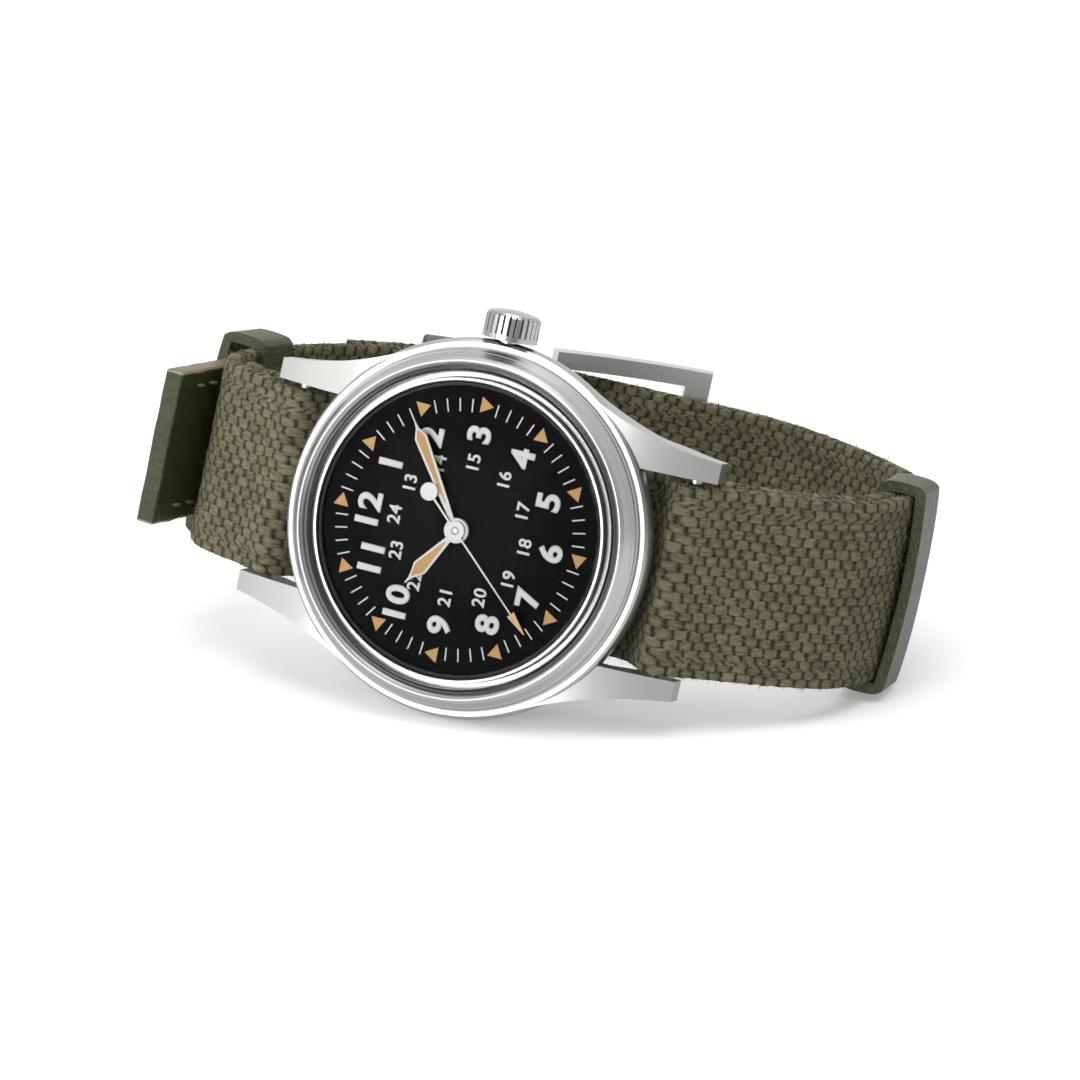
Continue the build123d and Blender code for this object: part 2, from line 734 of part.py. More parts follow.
pallet_cock_z = -3.45
pallet_cock_l = 3.4
pallet_cock_w = 1.1
pallet_cock_turn = 150
with BuildPart() as pallet_cock:
    with BuildSketch(Plane.XY.offset(pallet_cock_z)):
        with Locations(Location((*pallet_at, 0), (0, 0, pallet_cock_turn))):
            SlotCenterPoint((0, 0), (-pallet_cock_l / 2, 0), pallet_cock_w)
            Circle(pivot_r + fit, mode=Mode.SUBTRACT)
    extrude(amount=balance_rim_h)
finish(pallet_cock, "pallet_cock")

screw_sides = 12
with BuildPart() as bridge_screws:
    for bearing in post_bearings:
        for radius, start_z, length in ((screw_r, bridge_z, -bridge_t),
                                        (screw_head_r, bridge_low_z, -screw_head_h)):
            with BuildSketch(Plane.XY.offset(start_z)):
                with Locations(polar(post_at, bearing)):
                    RegularPolygon(radius, screw_sides)
            extrude(amount=length)
finish(bridge_screws, "bridge_screws")

# Winding: crown wheel, ratchet wheel and click on the bridge; pinions on the stem
with BuildPart() as crown_wheel:
    teeth(crown_wheel_teeth, crown_wheel_pitch_r, wheel_low_z, wheel_t, crown_wheel_at,
          mesh_bearing + 180 + 180 / crown_wheel_teeth)
    with BuildSketch(Plane.XY.offset(wheel_low_z)):
        with Locations(crown_wheel_at):
            Circle(wheel_boss_r + run_gap)
    extrude(amount=wheel_t, mode=Mode.SUBTRACT)
finish(crown_wheel, "crown_wheel")

with BuildPart() as ratchet_wheel:
    teeth(ratchet_teeth, ratchet_r, wheel_low_z, wheel_t, barrel_at, mesh_bearing)
    with BuildSketch(Plane.XY.offset(wheel_low_z)):
        with Locations(barrel_at):
            Circle(arbor_neck_r + fit)
    extrude(amount=wheel_t, mode=Mode.SUBTRACT)
finish(ratchet_wheel, "ratchet_wheel")

with BuildPart() as wheel_screws:
    for centre in (crown_wheel_at, click_at):
        arbor(wheel_boss_r + run_gap + wheel_t, bridge_low_z, wheel_low_z - fit, centre)
finish(wheel_screws, "wheel_screws")

with BuildPart() as ratchet_screw:
    arbor(2 * arbor_neck_r, bridge_low_z, ratchet_z - wheel_t - fit, barrel_at)
finish(ratchet_screw, "ratchet_screw")

with BuildPart() as click:
    beak_r = click_reach - 2 * recess_gap
    with BuildSketch(Plane((*click_at, wheel_low_z)).rotated((0, 0, click_bearing + 180))):
        Circle(click_r)
        Polygon((0, click_r), (beak_r, -wheel_t), (0, -click_r), align=None)
        Circle(wheel_boss_r / 2 + run_gap, mode=Mode.SUBTRACT)
    extrude(amount=wheel_t)
finish(click, "click")

for name, start, length in (("sliding_pinion", clutch_x, clutch_l),
                            ("winding_pinion", clutch_x + clutch_l + run_gap, winding_l)):
    with BuildPart() as pinion:
        teeth(winding_teeth, clutch_r - fit, start, length, (0, crown_z), 0, Plane.YZ)
        with BuildSketch(Plane.YZ.offset(start)):
            with Locations((0, crown_z)):
                Circle(stem_r + run_gap)
        extrude(amount=length, mode=Mode.SUBTRACT)
    finish(pinion, name)

# Holder ring round the movement, clear of the stem
holder_low_z = -4.2
boss_gap = 0.05
with BuildPart() as movement_holder:
    with BuildSketch(Plane.XY.offset(holder_low_z)):
        Circle(holder_r - run_gap)
        Circle(plate_r + run_gap, mode=Mode.SUBTRACT)
    extrude(amount=plate_z - holder_low_z)
    with BuildSketch(Plane.YZ):
        with Locations((0, crown_z)):
            Circle(tube_r + run_gap)
    extrude(amount=case_r, mode=Mode.SUBTRACT)
finish(movement_holder, "movement_holder")

# Case back: a solid screw-in back with key notches, and its gasket in a groove
back_inset = 0.8
back_r = floor_r - back_inset
back_wall = 0.9
dish_wall = 1.3
dish_r = thread_r - dish_wall
boss_z = holder_low_z - boss_gap
notch_w = 2.4
notch_l = 1.3
notch_h = 0.5
notch_count = 6
back_edge = 0.4
groove_wall = 0.3
gasket_r = thread_r + groove_wall
gasket_w = 0.7
gasket_h = 0.4
with BuildPart() as case_back:
    add(ring_profile([
        (0, back_z), (back_r - back_edge, back_z), (back_r, back_z + back_edge),
        (back_r, floor_z - fit), (gasket_r + gasket_w, floor_z - fit),
        (gasket_r + gasket_w, floor_z - gasket_h), (gasket_r, floor_z - gasket_h),
        (gasket_r, floor_z - fit), (thread_r - fit, floor_z - fit), (thread_r - fit, boss_z),
        (dish_r, boss_z), (dish_r, back_z + back_wall), (0, back_z + back_wall)]))
    revolve(axis=Axis.Z)
    with BuildSketch(Plane.XY.offset(back_z)):
        with PolarLocations(back_r - notch_l / 2, notch_count):
            Rectangle(notch_l + back_edge, notch_w)
    extrude(amount=notch_h, mode=Mode.SUBTRACT)
finish(case_back, "case_back")

with BuildPart() as back_gasket:
    with BuildSketch(Plane.XY.offset(floor_z - gasket_h + fit)):
        Circle(gasket_r + gasket_w - fit)
        Circle(gasket_r + fit, mode=Mode.SUBTRACT)
    extrude(amount=gasket_h - 2 * fit)
finish(back_gasket, "back_gasket")

# Crown on its tube: fluted barrel, smooth collar and a domed top
tube_proud = 1.6
tube_in = 0.2
crown_gap = 0.25
crown_collar = 0.5
crown_bevel = 0.35
crown_dome = 0.35
flute_count = 28
flute_depth = 0.3
flute_w = 0.42
seal_w = 0.45
seal_l = 0.9
socket_t = 0.3
crown_r = crown_d / 2
crown_base_x = case_r + crown_gap
crown_top_x = crown_base_x + crown_h
bore_r = tube_r + seal_w
bore_end_x = case_r + tube_proud + crown_gap
with BuildPart() as case_tube:
    with BuildSketch(Plane.YZ.offset(holder_r + tube_in)):
        with Locations((0, crown_z)):
            Circle(tube_r)
            Circle(stem_r + run_gap, mode=Mode.SUBTRACT)
    extrude(amount=case_r + tube_proud - holder_r - tube_in)
finish(case_tube, "case_tube")

with BuildPart() as stem:
    with BuildSketch(Plane.YZ.offset(clutch_x - stem_r)):
        with Locations((0, crown_z)):
            Circle(stem_r)
    extrude(amount=bore_end_x + socket_t - clutch_x + stem_r)
finish(stem, "stem")

crown_axis = Axis((0, 0, crown_z), (1, 0, 0))
with BuildPart() as crown:
    with BuildSketch(Plane.XZ):
        with BuildLine():
            edge = (crown_top_x - crown_dome, crown_z + crown_r - crown_bevel)
            Polyline((bore_end_x, crown_z), (bore_end_x, crown_z + bore_r),
                     (crown_base_x, crown_z + bore_r), (crown_base_x, crown_z + crown_r),
                     (crown_top_x - crown_dome - crown_bevel, crown_z + crown_r), edge)
            TangentArc((crown_top_x, crown_z), edge, tangent=(0, 1))
            Line((crown_top_x, crown_z), (bore_end_x, crown_z))
        make_face()
    revolve(axis=crown_axis)
    with BuildSketch(Plane.YZ.offset(crown_base_x + crown_collar)):
        with Locations((0, crown_z)):
            with PolarLocations(crown_r, flute_count):
                Polygon((flute_w / 2, -flute_w / 2), (-flute_depth, 0), (flute_w / 2, flute_w / 2),
                        align=None)
    extrude(amount=crown_h, mode=Mode.SUBTRACT)
    with BuildSketch(Plane.YZ.offset(bore_end_x)):
        with Locations((0, crown_z)):
            Circle(stem_r + fit)
    extrude(amount=socket_t + fit, mode=Mode.SUBTRACT)
finish(crown, "crown")

with BuildPart() as crown_gasket:
    with BuildSketch(Plane.YZ.offset(crown_base_x + crown_collar)):
        with Locations((0, crown_z)):
            Circle(bore_r - fit)
            Circle(tube_r + fit, mode=Mode.SUBTRACT)
    extrude(amount=seal_l)
finish(crown_gasket, "crown_gasket")

# Spring bars: a tube and two sprung pins each
bar_bore = 0.5
bar_end_gap = 0.2
pin_head_l = 1.2
for side, name in ((1, "spring_bar_12"), (-1, "spring_bar_6")):
    with BuildPart() as bar:
        half_bar = lug_gap / 2 - bar_end_gap
        with BuildSketch(Plane.YZ.offset(-half_bar)):
            with Locations((side * bar_y, bar_z)):
                Circle(bar_r)
                Circle(bar_bore, mode=Mode.SUBTRACT)
        extrude(amount=2 * half_bar)
        for end in (1, -1):
            with BuildSketch(Plane.YZ.offset(end * (lug_gap / 2 + bar_pin_l))):
                with Locations((side * bar_y, bar_z)):
                    Circle(bar_pin_r)
            extrude(amount=-end * (bar_pin_l + bar_end_gap + pin_head_l))
            with BuildSketch(Plane.YZ.offset(end * (half_bar - pin_head_l / 2))):
                with Locations((side * bar_y, bar_z)):
                    Circle(bar_bore - fit)
            extrude(amount=-end * pin_head_l)
    finish(bar, name)

# The strap's loop, drawn in the plane across the case from 6 to 12 o'clock.
# Toward 6 o'clock and away from the dial are positive in these shares.
six_reach = bar_y + loop_reach


def on_loop(*shares):
    """Points of the loop from (share of the reach to 6 o'clock, share of the depth)."""
    return [(-six_reach * six, -loop_depth * deep) for six, deep in shares]


def edge_plane(offset):
    """The plane of a strap edge: the loop leans to 3 o'clock as it goes back."""
    lean = math.radians(pitch)
    return Plane(origin=(offset, 0, bar_z), z_dir=(math.cos(lean), 0, math.sin(lean)))


def lean_at(height):
    """How far the loop's middle has moved to 3 o'clock at a height."""
    return (bar_z - height) * math.tan(math.radians(pitch))


bend_share = 0.45


def open_radii(points, fixed):
    """Bend radii for a route: as large as the runs allow, or as fixed by point number."""
    radii = []
    for index in range(1, len(points) - 1):
        before = Vector(*points[index]) - Vector(*points[index - 1])
        after = Vector(*points[index + 1]) - Vector(*points[index])
        turn = math.radians(before.get_angle(after))
        room = bend_share * min(before.length, after.length) / math.tan(turn / 2)
        radii.append(fixed.get(index, room))
    return radii


# Over each bar the strap rises from under the case, bends round the bar and falls away
rise_angle = 48
fall_six = 38
fall_twelve = 30
fall_l = 6.5
fall_l_twelve = 3.8
bar_bend = bar_r + seam_gap + canvas_t / 2
under_z = back_z - soft_gap - canvas_t / 2


def over_bar(side, fall, run):
    """Three points that lead the strap over a bar: under the case, over the bar, beyond."""
    half_turn = math.radians((rise_angle + fall) / 2)
    bisector = math.radians(90 + (rise_angle - fall) / 2)
    reach = bar_bend / math.cos(half_turn)
    peak = (bar_y + reach * math.cos(bisector), bar_z + reach * math.sin(bisector))
    low = (peak[0] - (peak[1] - under_z) / math.tan(math.radians(rise_angle)), under_z)
    beyond = (peak[0] + run * math.cos(math.radians(fall)),
              peak[1] - run * math.sin(math.radians(fall)))
    return [(side * y, z) for y, z in (low, peak, beyond)]


# The buckle's bar and frame, as the strap's end holds them
buckle_bar_r = 0.7
buckle_bar_share = (-0.125, 0.892)
buckle_angle = 25.7
bar_point_yz = on_loop(buckle_bar_share)[0]


def in_loop(origin, angle, forward, outward):
    """A point in the plane across the case, along a slope to 6 o'clock and out of the loop."""
    slope = math.radians(angle)
    return (origin[0] - forward * math.cos(slope) + outward * math.sin(slope),
            origin[1] - forward * math.sin(slope) - outward * math.cos(slope))


def between(start, end, share):
    """The point part of the way from one point to another."""
    return tuple(a + share * (b - a) for a, b in zip(start, end))


def beside(route, distance):
    """A route that runs outside another by a distance, corner for corner."""
    runs = [(Vector(*end) - Vector(*start)).normalized() for start, end in zip(route, route[1:])]
    normals = [Vector(run.Y, -run.X) for run in runs]
    shifted = []
    for index, point in enumerate(route):
        first, last = normals[max(index - 1, 0)], normals[min(index, len(normals) - 1)]
        step = (first + last) * (distance / (1 + first.dot(last)))
        shifted.append((point[0] + step.X, point[1] + step.Y))
    return shifted


# The long strap: the stitched fold round the buckle's bar, the run up to the bar at
# 12 o'clock, under the case, out over the bar at 6 o'clock, and round to the fold again
buckle_end_shares = ((-0.322, 0.905), (-0.442, 0.858), (-0.557, 0.784), (-0.655, 0.680),
                     (-0.727, 0.558), (-0.775, 0.431), (-0.798, 0.320), (-0.780, 0.231),
                     (-0.712, 0.174))
six_end_shares = ((0.750, 0.236), (0.865, 0.316), (0.930, 0.400), (0.972, 0.585),
                  (0.905, 0.742), (0.800, 0.827), (0.675, 0.902), (0.547, 0.960),
                  (0.412, 0.993), (0.222, 0.989), (-0.156, 0.967))
leather_tip_shares = ((-0.862, 0.240), (-0.880, 0.130))
second_start_shares = ((-0.748, 0.264), (-0.700, 0.217), (-0.608, 0.199))
second_rise_share = (0.610, 0.220)
fold_angle = 8
fold_leg = 1.5
fold_end_share = 0.3
seam_share = 0.85
second_end_share = 0.8
ply_gap = canvas_t + soft_gap
leather_gap = (canvas_t + leather_t) / 2 + soft_gap
fold_r = buckle_bar_r + canvas_t / 2
fold_inner = [in_loop(bar_point_yz, fold_angle, forward, -fold_r) for forward in (-fold_leg, fold_r)]
fold_outer = [in_loop(bar_point_yz, fold_angle, forward, fold_r) for forward in (fold_r, -fold_leg)]
buckle_end = on_loop(*buckle_end_shares)
fold_back = [fold_outer[1], buckle_end[0], between(buckle_end[0], buckle_end[1], fold_end_share)]
six_end = on_loop(*six_end_shares)
seam = between(buckle_end[2], buckle_end[3], seam_share)
tail_route = beside(fold_outer[1:] + buckle_end[0:3] + [seam], ply_gap)[1:]
leather_route = beside([seam] + buckle_end[3:7], leather_gap)[:4] + on_loop(*leather_tip_shares)
twelve_bar = over_bar(1, fall_twelve, fall_l_twelve)[::-1]
six_bar = over_bar(-1, fall_six, fall_l)
main_route = (beside(fold_back, -ply_gap)[:0:-1] + fold_inner + fold_outer + buckle_end
              + twelve_bar + six_bar + six_end + tail_route)
peak_twelve = main_route.index(twelve_bar[1])
peak_six = main_route.index(six_bar[1])
fold_turn = main_route.index(fold_inner[1])
main_bends = {fold_turn: fold_r, fold_turn + 1: fold_r, peak_twelve: bar_bend,
              peak_twelve + 1: bar_bend, peak_six - 1: bar_bend, peak_six: bar_bend}
second_z = under_z - canvas_t - soft_gap
second_flat_y = bar_y - bar_inset
second_end = between(six_end[2], six_end[3], second_end_share)
second_route = (on_loop(*second_start_shares)
                + [(second_flat_y, second_z), (-second_flat_y, second_z)]
                + on_loop(second_rise_share) + beside(six_end[0:3] + [second_end], -ply_gap))


def band(path, thick, width):
    """A flat band along a path across the case, between its two leaning edges."""
    with BuildPart() as strip:
        with BuildSketch(Plane.YZ):
            for run in path.edges():
                trace(run, line_width=thick)
        extrude(amount=case_d, both=True)
        split(bisect_by=edge_plane(width / 2), keep=Keep.BOTTOM)
        split(bisect_by=edge_plane(-width / 2), keep=Keep.TOP)
    return strip.part


with BuildLine() as main_path:
    main_wire = FilletPolyline(*main_route, radius=open_radii(main_route, main_bends))


def share_at(point):
    """The share of the long strap's length where its middle line lies nearest to a point."""
    search_steps = 1500
    return min((step / search_steps for step in range(search_steps)),
               key=lambda share: (main_wire @ share - Vector(*point)).length)


def on_main(share):
    """A point of the long strap's middle line, and the line's direction there."""
    spot, along = main_wire @ share, main_wire % share
    return Vector(0, spot.X, spot.Y), Vector(0, along.X, along.Y)


# Tongue holes a pitch apart along the tail, and one more where the tongue leaves the fold
tongue_hole_shares = (0.503, 0.053)
hole_l = 4.2
hole_w = 2.8
first_hole = -4
last_hole = 3
fold_slot_l = 4 * fold_r
tongue_hole = share_at(in_loop(bar_point_yz, buckle_angle,
                               *[share * buckle_l for share in tongue_hole_shares]))
fold_tip = share_at(in_loop(bar_point_yz, fold_angle, fold_r, 0))
cuts = [(tongue_hole - step * hole_pitch / main_wire.length, hole_l, canvas_t)
        for step in range(first_hole, last_hole + 1)]
cuts.append((fold_tip, fold_slot_l, 2 * fold_r))
with BuildPart() as main_strap:
    add(band(main_path, canvas_t, canvas_w))
    for share, length, deep in cuts:
        spot, along = on_main(share)
        face = Plane(origin=(lean_at(spot.Z), spot.Y, spot.Z), x_dir=along,
                     z_dir=along.cross(Vector(1, 0, 0)))
        with BuildSketch(face):
            SlotOverall(length, hole_w)
        extrude(amount=deep, both=True, mode=Mode.SUBTRACT)
finish(main_strap, "main_strap")

with BuildLine() as leather_path:
    FilletPolyline(*leather_route, radius=open_radii(leather_route, {}))
with BuildPart() as tail_tip:
    add(band(leather_path, leather_t, leather_w))
finish(tail_tip, "tail_tip")

with BuildLine() as second_path:
    FilletPolyline(*second_route, radius=open_radii(second_route, {}))
with BuildPart() as second_strip:
    add(band(second_path, canvas_t, canvas_w))
finish(second_strip, "second_strip")

# Keepers: closed leather loops round two plies
keeper_6_share = (0.972, 0.560)
keeper_middle_share = (-0.440, 0.860)
keeper_end_share = (-0.778, 0.430)
keeper_gap = 0.25
bend_room = 0.6


def keeper(point_share, plies, outward, name):
    """A leather loop; its middle lies out of the loop by this from the strap's middle line."""
    spot, along = on_main(share_at(on_loop(point_share)[0]))
    place = Plane(origin=spot + outward * along.cross(Vector(1, 0, 0)), x_dir=along,
                  z_dir=(1, 0, 0))
    with BuildPart() as ring:
        with BuildSketch(place):
            Rectangle(keeper_w, plies + 2 * keeper_t)
        extrude(amount=case_d, both=True)
        split(bisect_by=edge_plane(canvas_w / 2 + keeper_gap + keeper_t), keep=Keep.BOTTOM)
        split(bisect_by=edge_plane(-canvas_w / 2 - keeper_gap - keeper_t), keep=Keep.TOP)
    with BuildPart() as hollow:
        with BuildSketch(place):
            Rectangle(keeper_w + cut_extra, plies)
        extrude(amount=case_d, both=True)
        split(bisect_by=edge_plane(canvas_w / 2 + keeper_gap), keep=Keep.BOTTOM)
        split(bisect_by=edge_plane(-canvas_w / 2 - keeper_gap), keep=Keep.TOP)
    with BuildPart() as loop:
        add(ring.part)
        add(hollow.part, mode=Mode.SUBTRACT)
    finish(loop, name)


two_canvas = canvas_t + ply_gap + bend_room
canvas_and_leather = canvas_t / 2 + leather_gap + leather_t / 2 + bend_room
keeper(keeper_6_share, two_canvas, -ply_gap / 2, "keeper_6")
keeper(keeper_middle_share, two_canvas, ply_gap / 2, "keeper_middle")
keeper(keeper_end_share, canvas_and_leather, leather_gap / 2 + (leather_t - canvas_t) / 4,
       "keeper_end")

# Buckle: a bowed frame on the bar in the strap's fold, and the tongue
frame_play = 0.7
frame_inner_w = canvas_w + 2 * frame_play
buckle_w = frame_inner_w + 2 * buckle_rail
frame_end = 1.4
frame_bow = 0.9
frame_shift = 0.3
tongue_w = 1.6
tongue_t = 1.1
eye_wall = 0.6
bar_fit_r = buckle_bar_r - seam_gap
bar_point = Vector(lean_at(bar_point_yz[1]), *bar_point_yz)


def on_buckle(forward, outward):
    """A point from the bar along the buckle's frame and out of it."""
    return in_loop(bar_point_yz, buckle_angle, forward, outward)


with BuildPart() as buckle_window:
    with BuildSketch(Plane.YZ):
        Polygon(on_buckle(-2 * frame_end, -buckle_l), on_buckle(buckle_l - frame_end, -buckle_l),
                on_buckle(buckle_l - frame_end, buckle_l), on_buckle(-2 * frame_end, buckle_l),
                align=None)
    extrude(amount=case_d, both=True)
    split(bisect_by=edge_plane(frame_shift + frame_inner_w / 2), keep=Keep.BOTTOM)
    split(bisect_by=edge_plane(frame_shift - frame_inner_w / 2), keep=Keep.TOP)

with BuildPart() as buckle_frame:
    with BuildSketch(Plane.YZ):
        with BuildLine():
            ThreePointArc(on_buckle(-frame_end, 0), on_buckle(buckle_l / 2, frame_bow),
                          on_buckle(buckle_l + frame_end, 0))
        trace(line_width=buckle_t)
    extrude(amount=case_d, both=True)
    split(bisect_by=edge_plane(frame_shift + buckle_w / 2), keep=Keep.BOTTOM)
    split(bisect_by=edge_plane(frame_shift - buckle_w / 2), keep=Keep.TOP)
    add(buckle_window.part, mode=Mode.SUBTRACT)
    with BuildSketch(Plane.YZ.offset(bar_point.X + frame_shift)):
        with Locations(bar_point_yz):
            Circle(bar_fit_r + run_gap)
    extrude(amount=frame_inner_w / 2 + eye_wall, both=True, mode=Mode.SUBTRACT)
finish(buckle_frame, "buckle_frame")

with BuildPart() as buckle_bar:
    with BuildSketch(Plane.YZ.offset(bar_point.X + frame_shift)):
        with Locations(bar_point_yz):
            Circle(bar_fit_r)
    extrude(amount=frame_inner_w / 2 + eye_wall - run_gap, both=True)
finish(buckle_bar, "buckle_bar")

tongue_rise_shares = ((0.39, -0.045), (0.61, 0.190))
tongue_rest = buckle_t / 2 + tongue_t / 2 + run_gap
tongue_route = [on_buckle(0, 0),
                *[on_buckle(along * buckle_l, out * buckle_l) for along, out in tongue_rise_shares],
                on_buckle(buckle_l + frame_end, tongue_rest)]
with BuildPart() as buckle_tongue:
    with BuildSketch(Plane.YZ.offset(bar_point.X)):
        with BuildLine():
            FilletPolyline(*tongue_route, radius=tongue_w)
        trace(line_width=tongue_t)
        with Locations(bar_point_yz):
            Circle(buckle_bar_r + eye_wall)
            Circle(bar_fit_r + run_gap, mode=Mode.SUBTRACT)
    extrude(amount=tongue_w / 2, both=True)
finish(buckle_tongue, "buckle_tongue")

# Lying as it rests: on the case's flank at 9 o'clock and on two edges of the strap's loop
lying_up = (0.954, 0.122, 0.275)
mesh_step = 0.05
settle_turns = 6
foot_names = ("mid_case", "keeper_6", "buckle_frame")
by_name = {piece.label: piece for piece in pieces}
foot_points = [by_name[name].tessellate(mesh_step)[0] for name in foot_names]
up = Vector(*lying_up)
for turn in range(settle_turns):
    feet = [min(points, key=lambda point: point.dot(up)) for points in foot_points]
    level = (feet[1] - feet[0]).cross(feet[2] - feet[0]).normalized()
    up = level if level.dot(up) > 0 else -level
to_six = Vector(0, -1, 0)
lying = Plane(origin=feet[0], x_dir=to_six - to_six.dot(up) * up, z_dir=up)
tipped = [piece.moved(lying.location.inverse()) for piece in pieces]
boxes = [piece.bounding_box() for piece in tipped]
low = Vector(*[min(getattr(box.min, axis) for box in boxes) for axis in "XYZ"])
high = Vector(*[max(getattr(box.max, axis) for box in boxes) for axis in "XYZ"])
ground = Vector(-(low.X + high.X) / 2, -(low.Y + high.Y) / 2, -low.Z)
for piece, name in zip(tipped, by_name):
    export_step(piece.moved(Location(ground)), os.path.join(pieces_dir, name + ".step"))
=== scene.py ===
import json
import math
import random
import bpy
from mathutils import Matrix, Vector, noise


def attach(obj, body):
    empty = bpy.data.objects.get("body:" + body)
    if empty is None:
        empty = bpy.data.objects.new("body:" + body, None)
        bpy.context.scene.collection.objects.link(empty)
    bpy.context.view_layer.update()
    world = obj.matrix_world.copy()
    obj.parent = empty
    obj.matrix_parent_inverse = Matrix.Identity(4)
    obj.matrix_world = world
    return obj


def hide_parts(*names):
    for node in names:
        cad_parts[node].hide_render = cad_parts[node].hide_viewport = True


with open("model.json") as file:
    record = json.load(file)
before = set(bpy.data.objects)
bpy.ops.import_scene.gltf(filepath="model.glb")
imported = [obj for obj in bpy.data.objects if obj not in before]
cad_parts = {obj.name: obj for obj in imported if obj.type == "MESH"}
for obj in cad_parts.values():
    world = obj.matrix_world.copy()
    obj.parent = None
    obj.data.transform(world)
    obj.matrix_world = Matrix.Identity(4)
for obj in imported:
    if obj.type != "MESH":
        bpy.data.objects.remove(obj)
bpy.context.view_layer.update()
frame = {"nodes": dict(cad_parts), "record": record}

# Case middle, case back, crown and bars: stainless steel, blasted to a fine satin after
# turning and milling, with crown, tube and bars left brighter. Places follow the watch's
# own axes, in millimetres: towards 3 o'clock, towards 12 o'clock and out of the dial.
joints = {joint["name"]: joint for joint in frame["record"]["behaviour"]["joints"]}
dial_centre = Vector(joints["minute_turn"]["pos_m"])
dial_out = -Vector(joints["minute_turn"]["axis"])
to_three = Vector(joints["crown_turn"]["axis"])
to_twelve = dial_out.cross(to_three)
dial_up = Matrix((to_three, to_twelve, dial_out)).transposed().to_4x4()
dial_up = Matrix.Translation(dial_centre) @ dial_up @ Matrix.Scale(0.001, 4)


def linear(red, green, blue):
    """A colour as the eye reads it, 0 to 255, in the light values that a shader takes."""
    return tuple((c / 255) ** 2.2 for c in (red, green, blue)) + (1,)


def finish_of(name, colour, rough, metal=0.0):
    """A new material with its shader, ready for detail."""
    material = bpy.data.materials.new(name)
    material.use_nodes = True
    shader = material.node_tree.nodes["Principled BSDF"]
    shader.inputs["Base Color"].default_value = colour
    shader.inputs["Roughness"].default_value = rough
    shader.inputs["Metallic"].default_value = metal
    return material, shader


def node(material, kind, inputs=(), **settings):
    """Adds a node; inputs is a list of (socket, value or the socket it takes)."""
    tree = material.node_tree
    made = tree.nodes.new(kind)
    for key, value in settings.items():
        setattr(made, key, value)
    for socket, value in inputs:
        if isinstance(value, bpy.types.NodeSocket):
            tree.links.new(value, made.inputs[socket])
        else:
            made.inputs[socket].default_value = value
    return made


def join_to(material, source, target):
    """Links one socket to another."""
    material.node_tree.links.new(source, target)


def place_on(material, kind="Object"):
    """Where a point lies on its piece, in metres, or in its UV map."""
    return node(material, "ShaderNodeTexCoord").outputs[kind]


def ranged(material, value, to_low, to_high, low=0.0, high=1.0, **settings):
    """A value carried from one range to another."""
    return node(material, "ShaderNodeMapRange", [
        ("Value", value), ("From Min", low), ("From Max", high), ("To Min", to_low),
        ("To Max", to_high)], **settings).outputs["Result"]


def grain(material, coordinates, scale, detail=2.0, rough=0.5):
    """Noise from 0 to 1 at a scale in parts per metre or per UV unit."""
    made = node(material, "ShaderNodeTexNoise", [("Vector", coordinates), ("Scale", scale),
                                                 ("Detail", detail), ("Roughness", rough)])
    return made.outputs["Fac"]


def relief(material, shader, height, distance, strength=1.0):
    """Gives the shader a bump from a height, in metres."""
    bump = node(material, "ShaderNodeBump", [("Height", height), ("Distance", distance),
                                             ("Strength", strength)])
    join_to(material, bump.outputs["Normal"], shader.inputs["Normal"])


def paint(material, *names):
    """Puts a material on CAD nodes or pieces."""
    for name in names:
        piece = frame["nodes"][name] if isinstance(name, str) else name
        piece.data.materials.clear()
        piece.data.materials.append(material)


def steel(name, colour, rough):
    """Satin steel with fine blasting and faint cloudiness in its gloss."""
    clouds_per_m, grit_per_m, grit_depth = 260, 14000, 0.00001
    material, shader = finish_of(name, linear(*colour), rough, 1.0)
    place = place_on(material)
    gloss = ranged(material, grain(material, place, clouds_per_m, 3), rough - 0.06, rough + 0.07)
    join_to(material, gloss, shader.inputs["Roughness"])
    relief(material, shader, grain(material, place, grit_per_m, 3, 0.65), grit_depth, 0.2)
    return material


blasted_steel = steel("blasted_steel", (172, 172, 170), 0.34)
paint(blasted_steel, "mid_case", "case_back")
paint(steel("bar_steel", (192, 192, 192), 0.2), "spring_bar_12", "spring_bar_6", "case_tube")
paint(steel("crown_steel", (172, 172, 171), 0.15), "crown")

# Movement: nickelled bridges and plate, gilt brass wheels and polished steel parts, as
# such a movement has them. It shows only when the case is opened, but for the hour
# wheel's pipe, which is steel where it stands above the dial.
gilt_tone, pipe_tone, pipe_from = (214, 176, 104), (176, 176, 176), 0.0001


def mixed(material, share, first, second):
    """A colour between two, by a share from 0 to 1."""
    mix = node(material, "ShaderNodeMix", [("Factor", share)], data_type="RGBA")
    for socket, value in ((mix.inputs[6], first), (mix.inputs[7], second)):
        if isinstance(value, bpy.types.NodeSocket):
            join_to(material, value, socket)
        else:
            socket.default_value = value
    return mix.outputs[2]


def sums(material, operation, first, second=0.0, third=0.0):
    """One step of arithmetic on numbers or sockets."""
    return node(material, "ShaderNodeMath", [(0, first), (1, second), (2, third)],
                operation=operation).outputs[0]


def vectors(material, operation, *given):
    """One step of arithmetic on vectors; a length or a dot product comes out as a number."""
    made = node(material, "ShaderNodeVectorMath", list(enumerate(given)), operation=operation)
    return made.outputs["Value" if operation in ("LENGTH", "DOT_PRODUCT") else "Vector"]


def from_dial(material):
    """The way from the dial's centre to a point of a piece, in metres."""
    return vectors(material, "SUBTRACT", place_on(material), dial_centre)


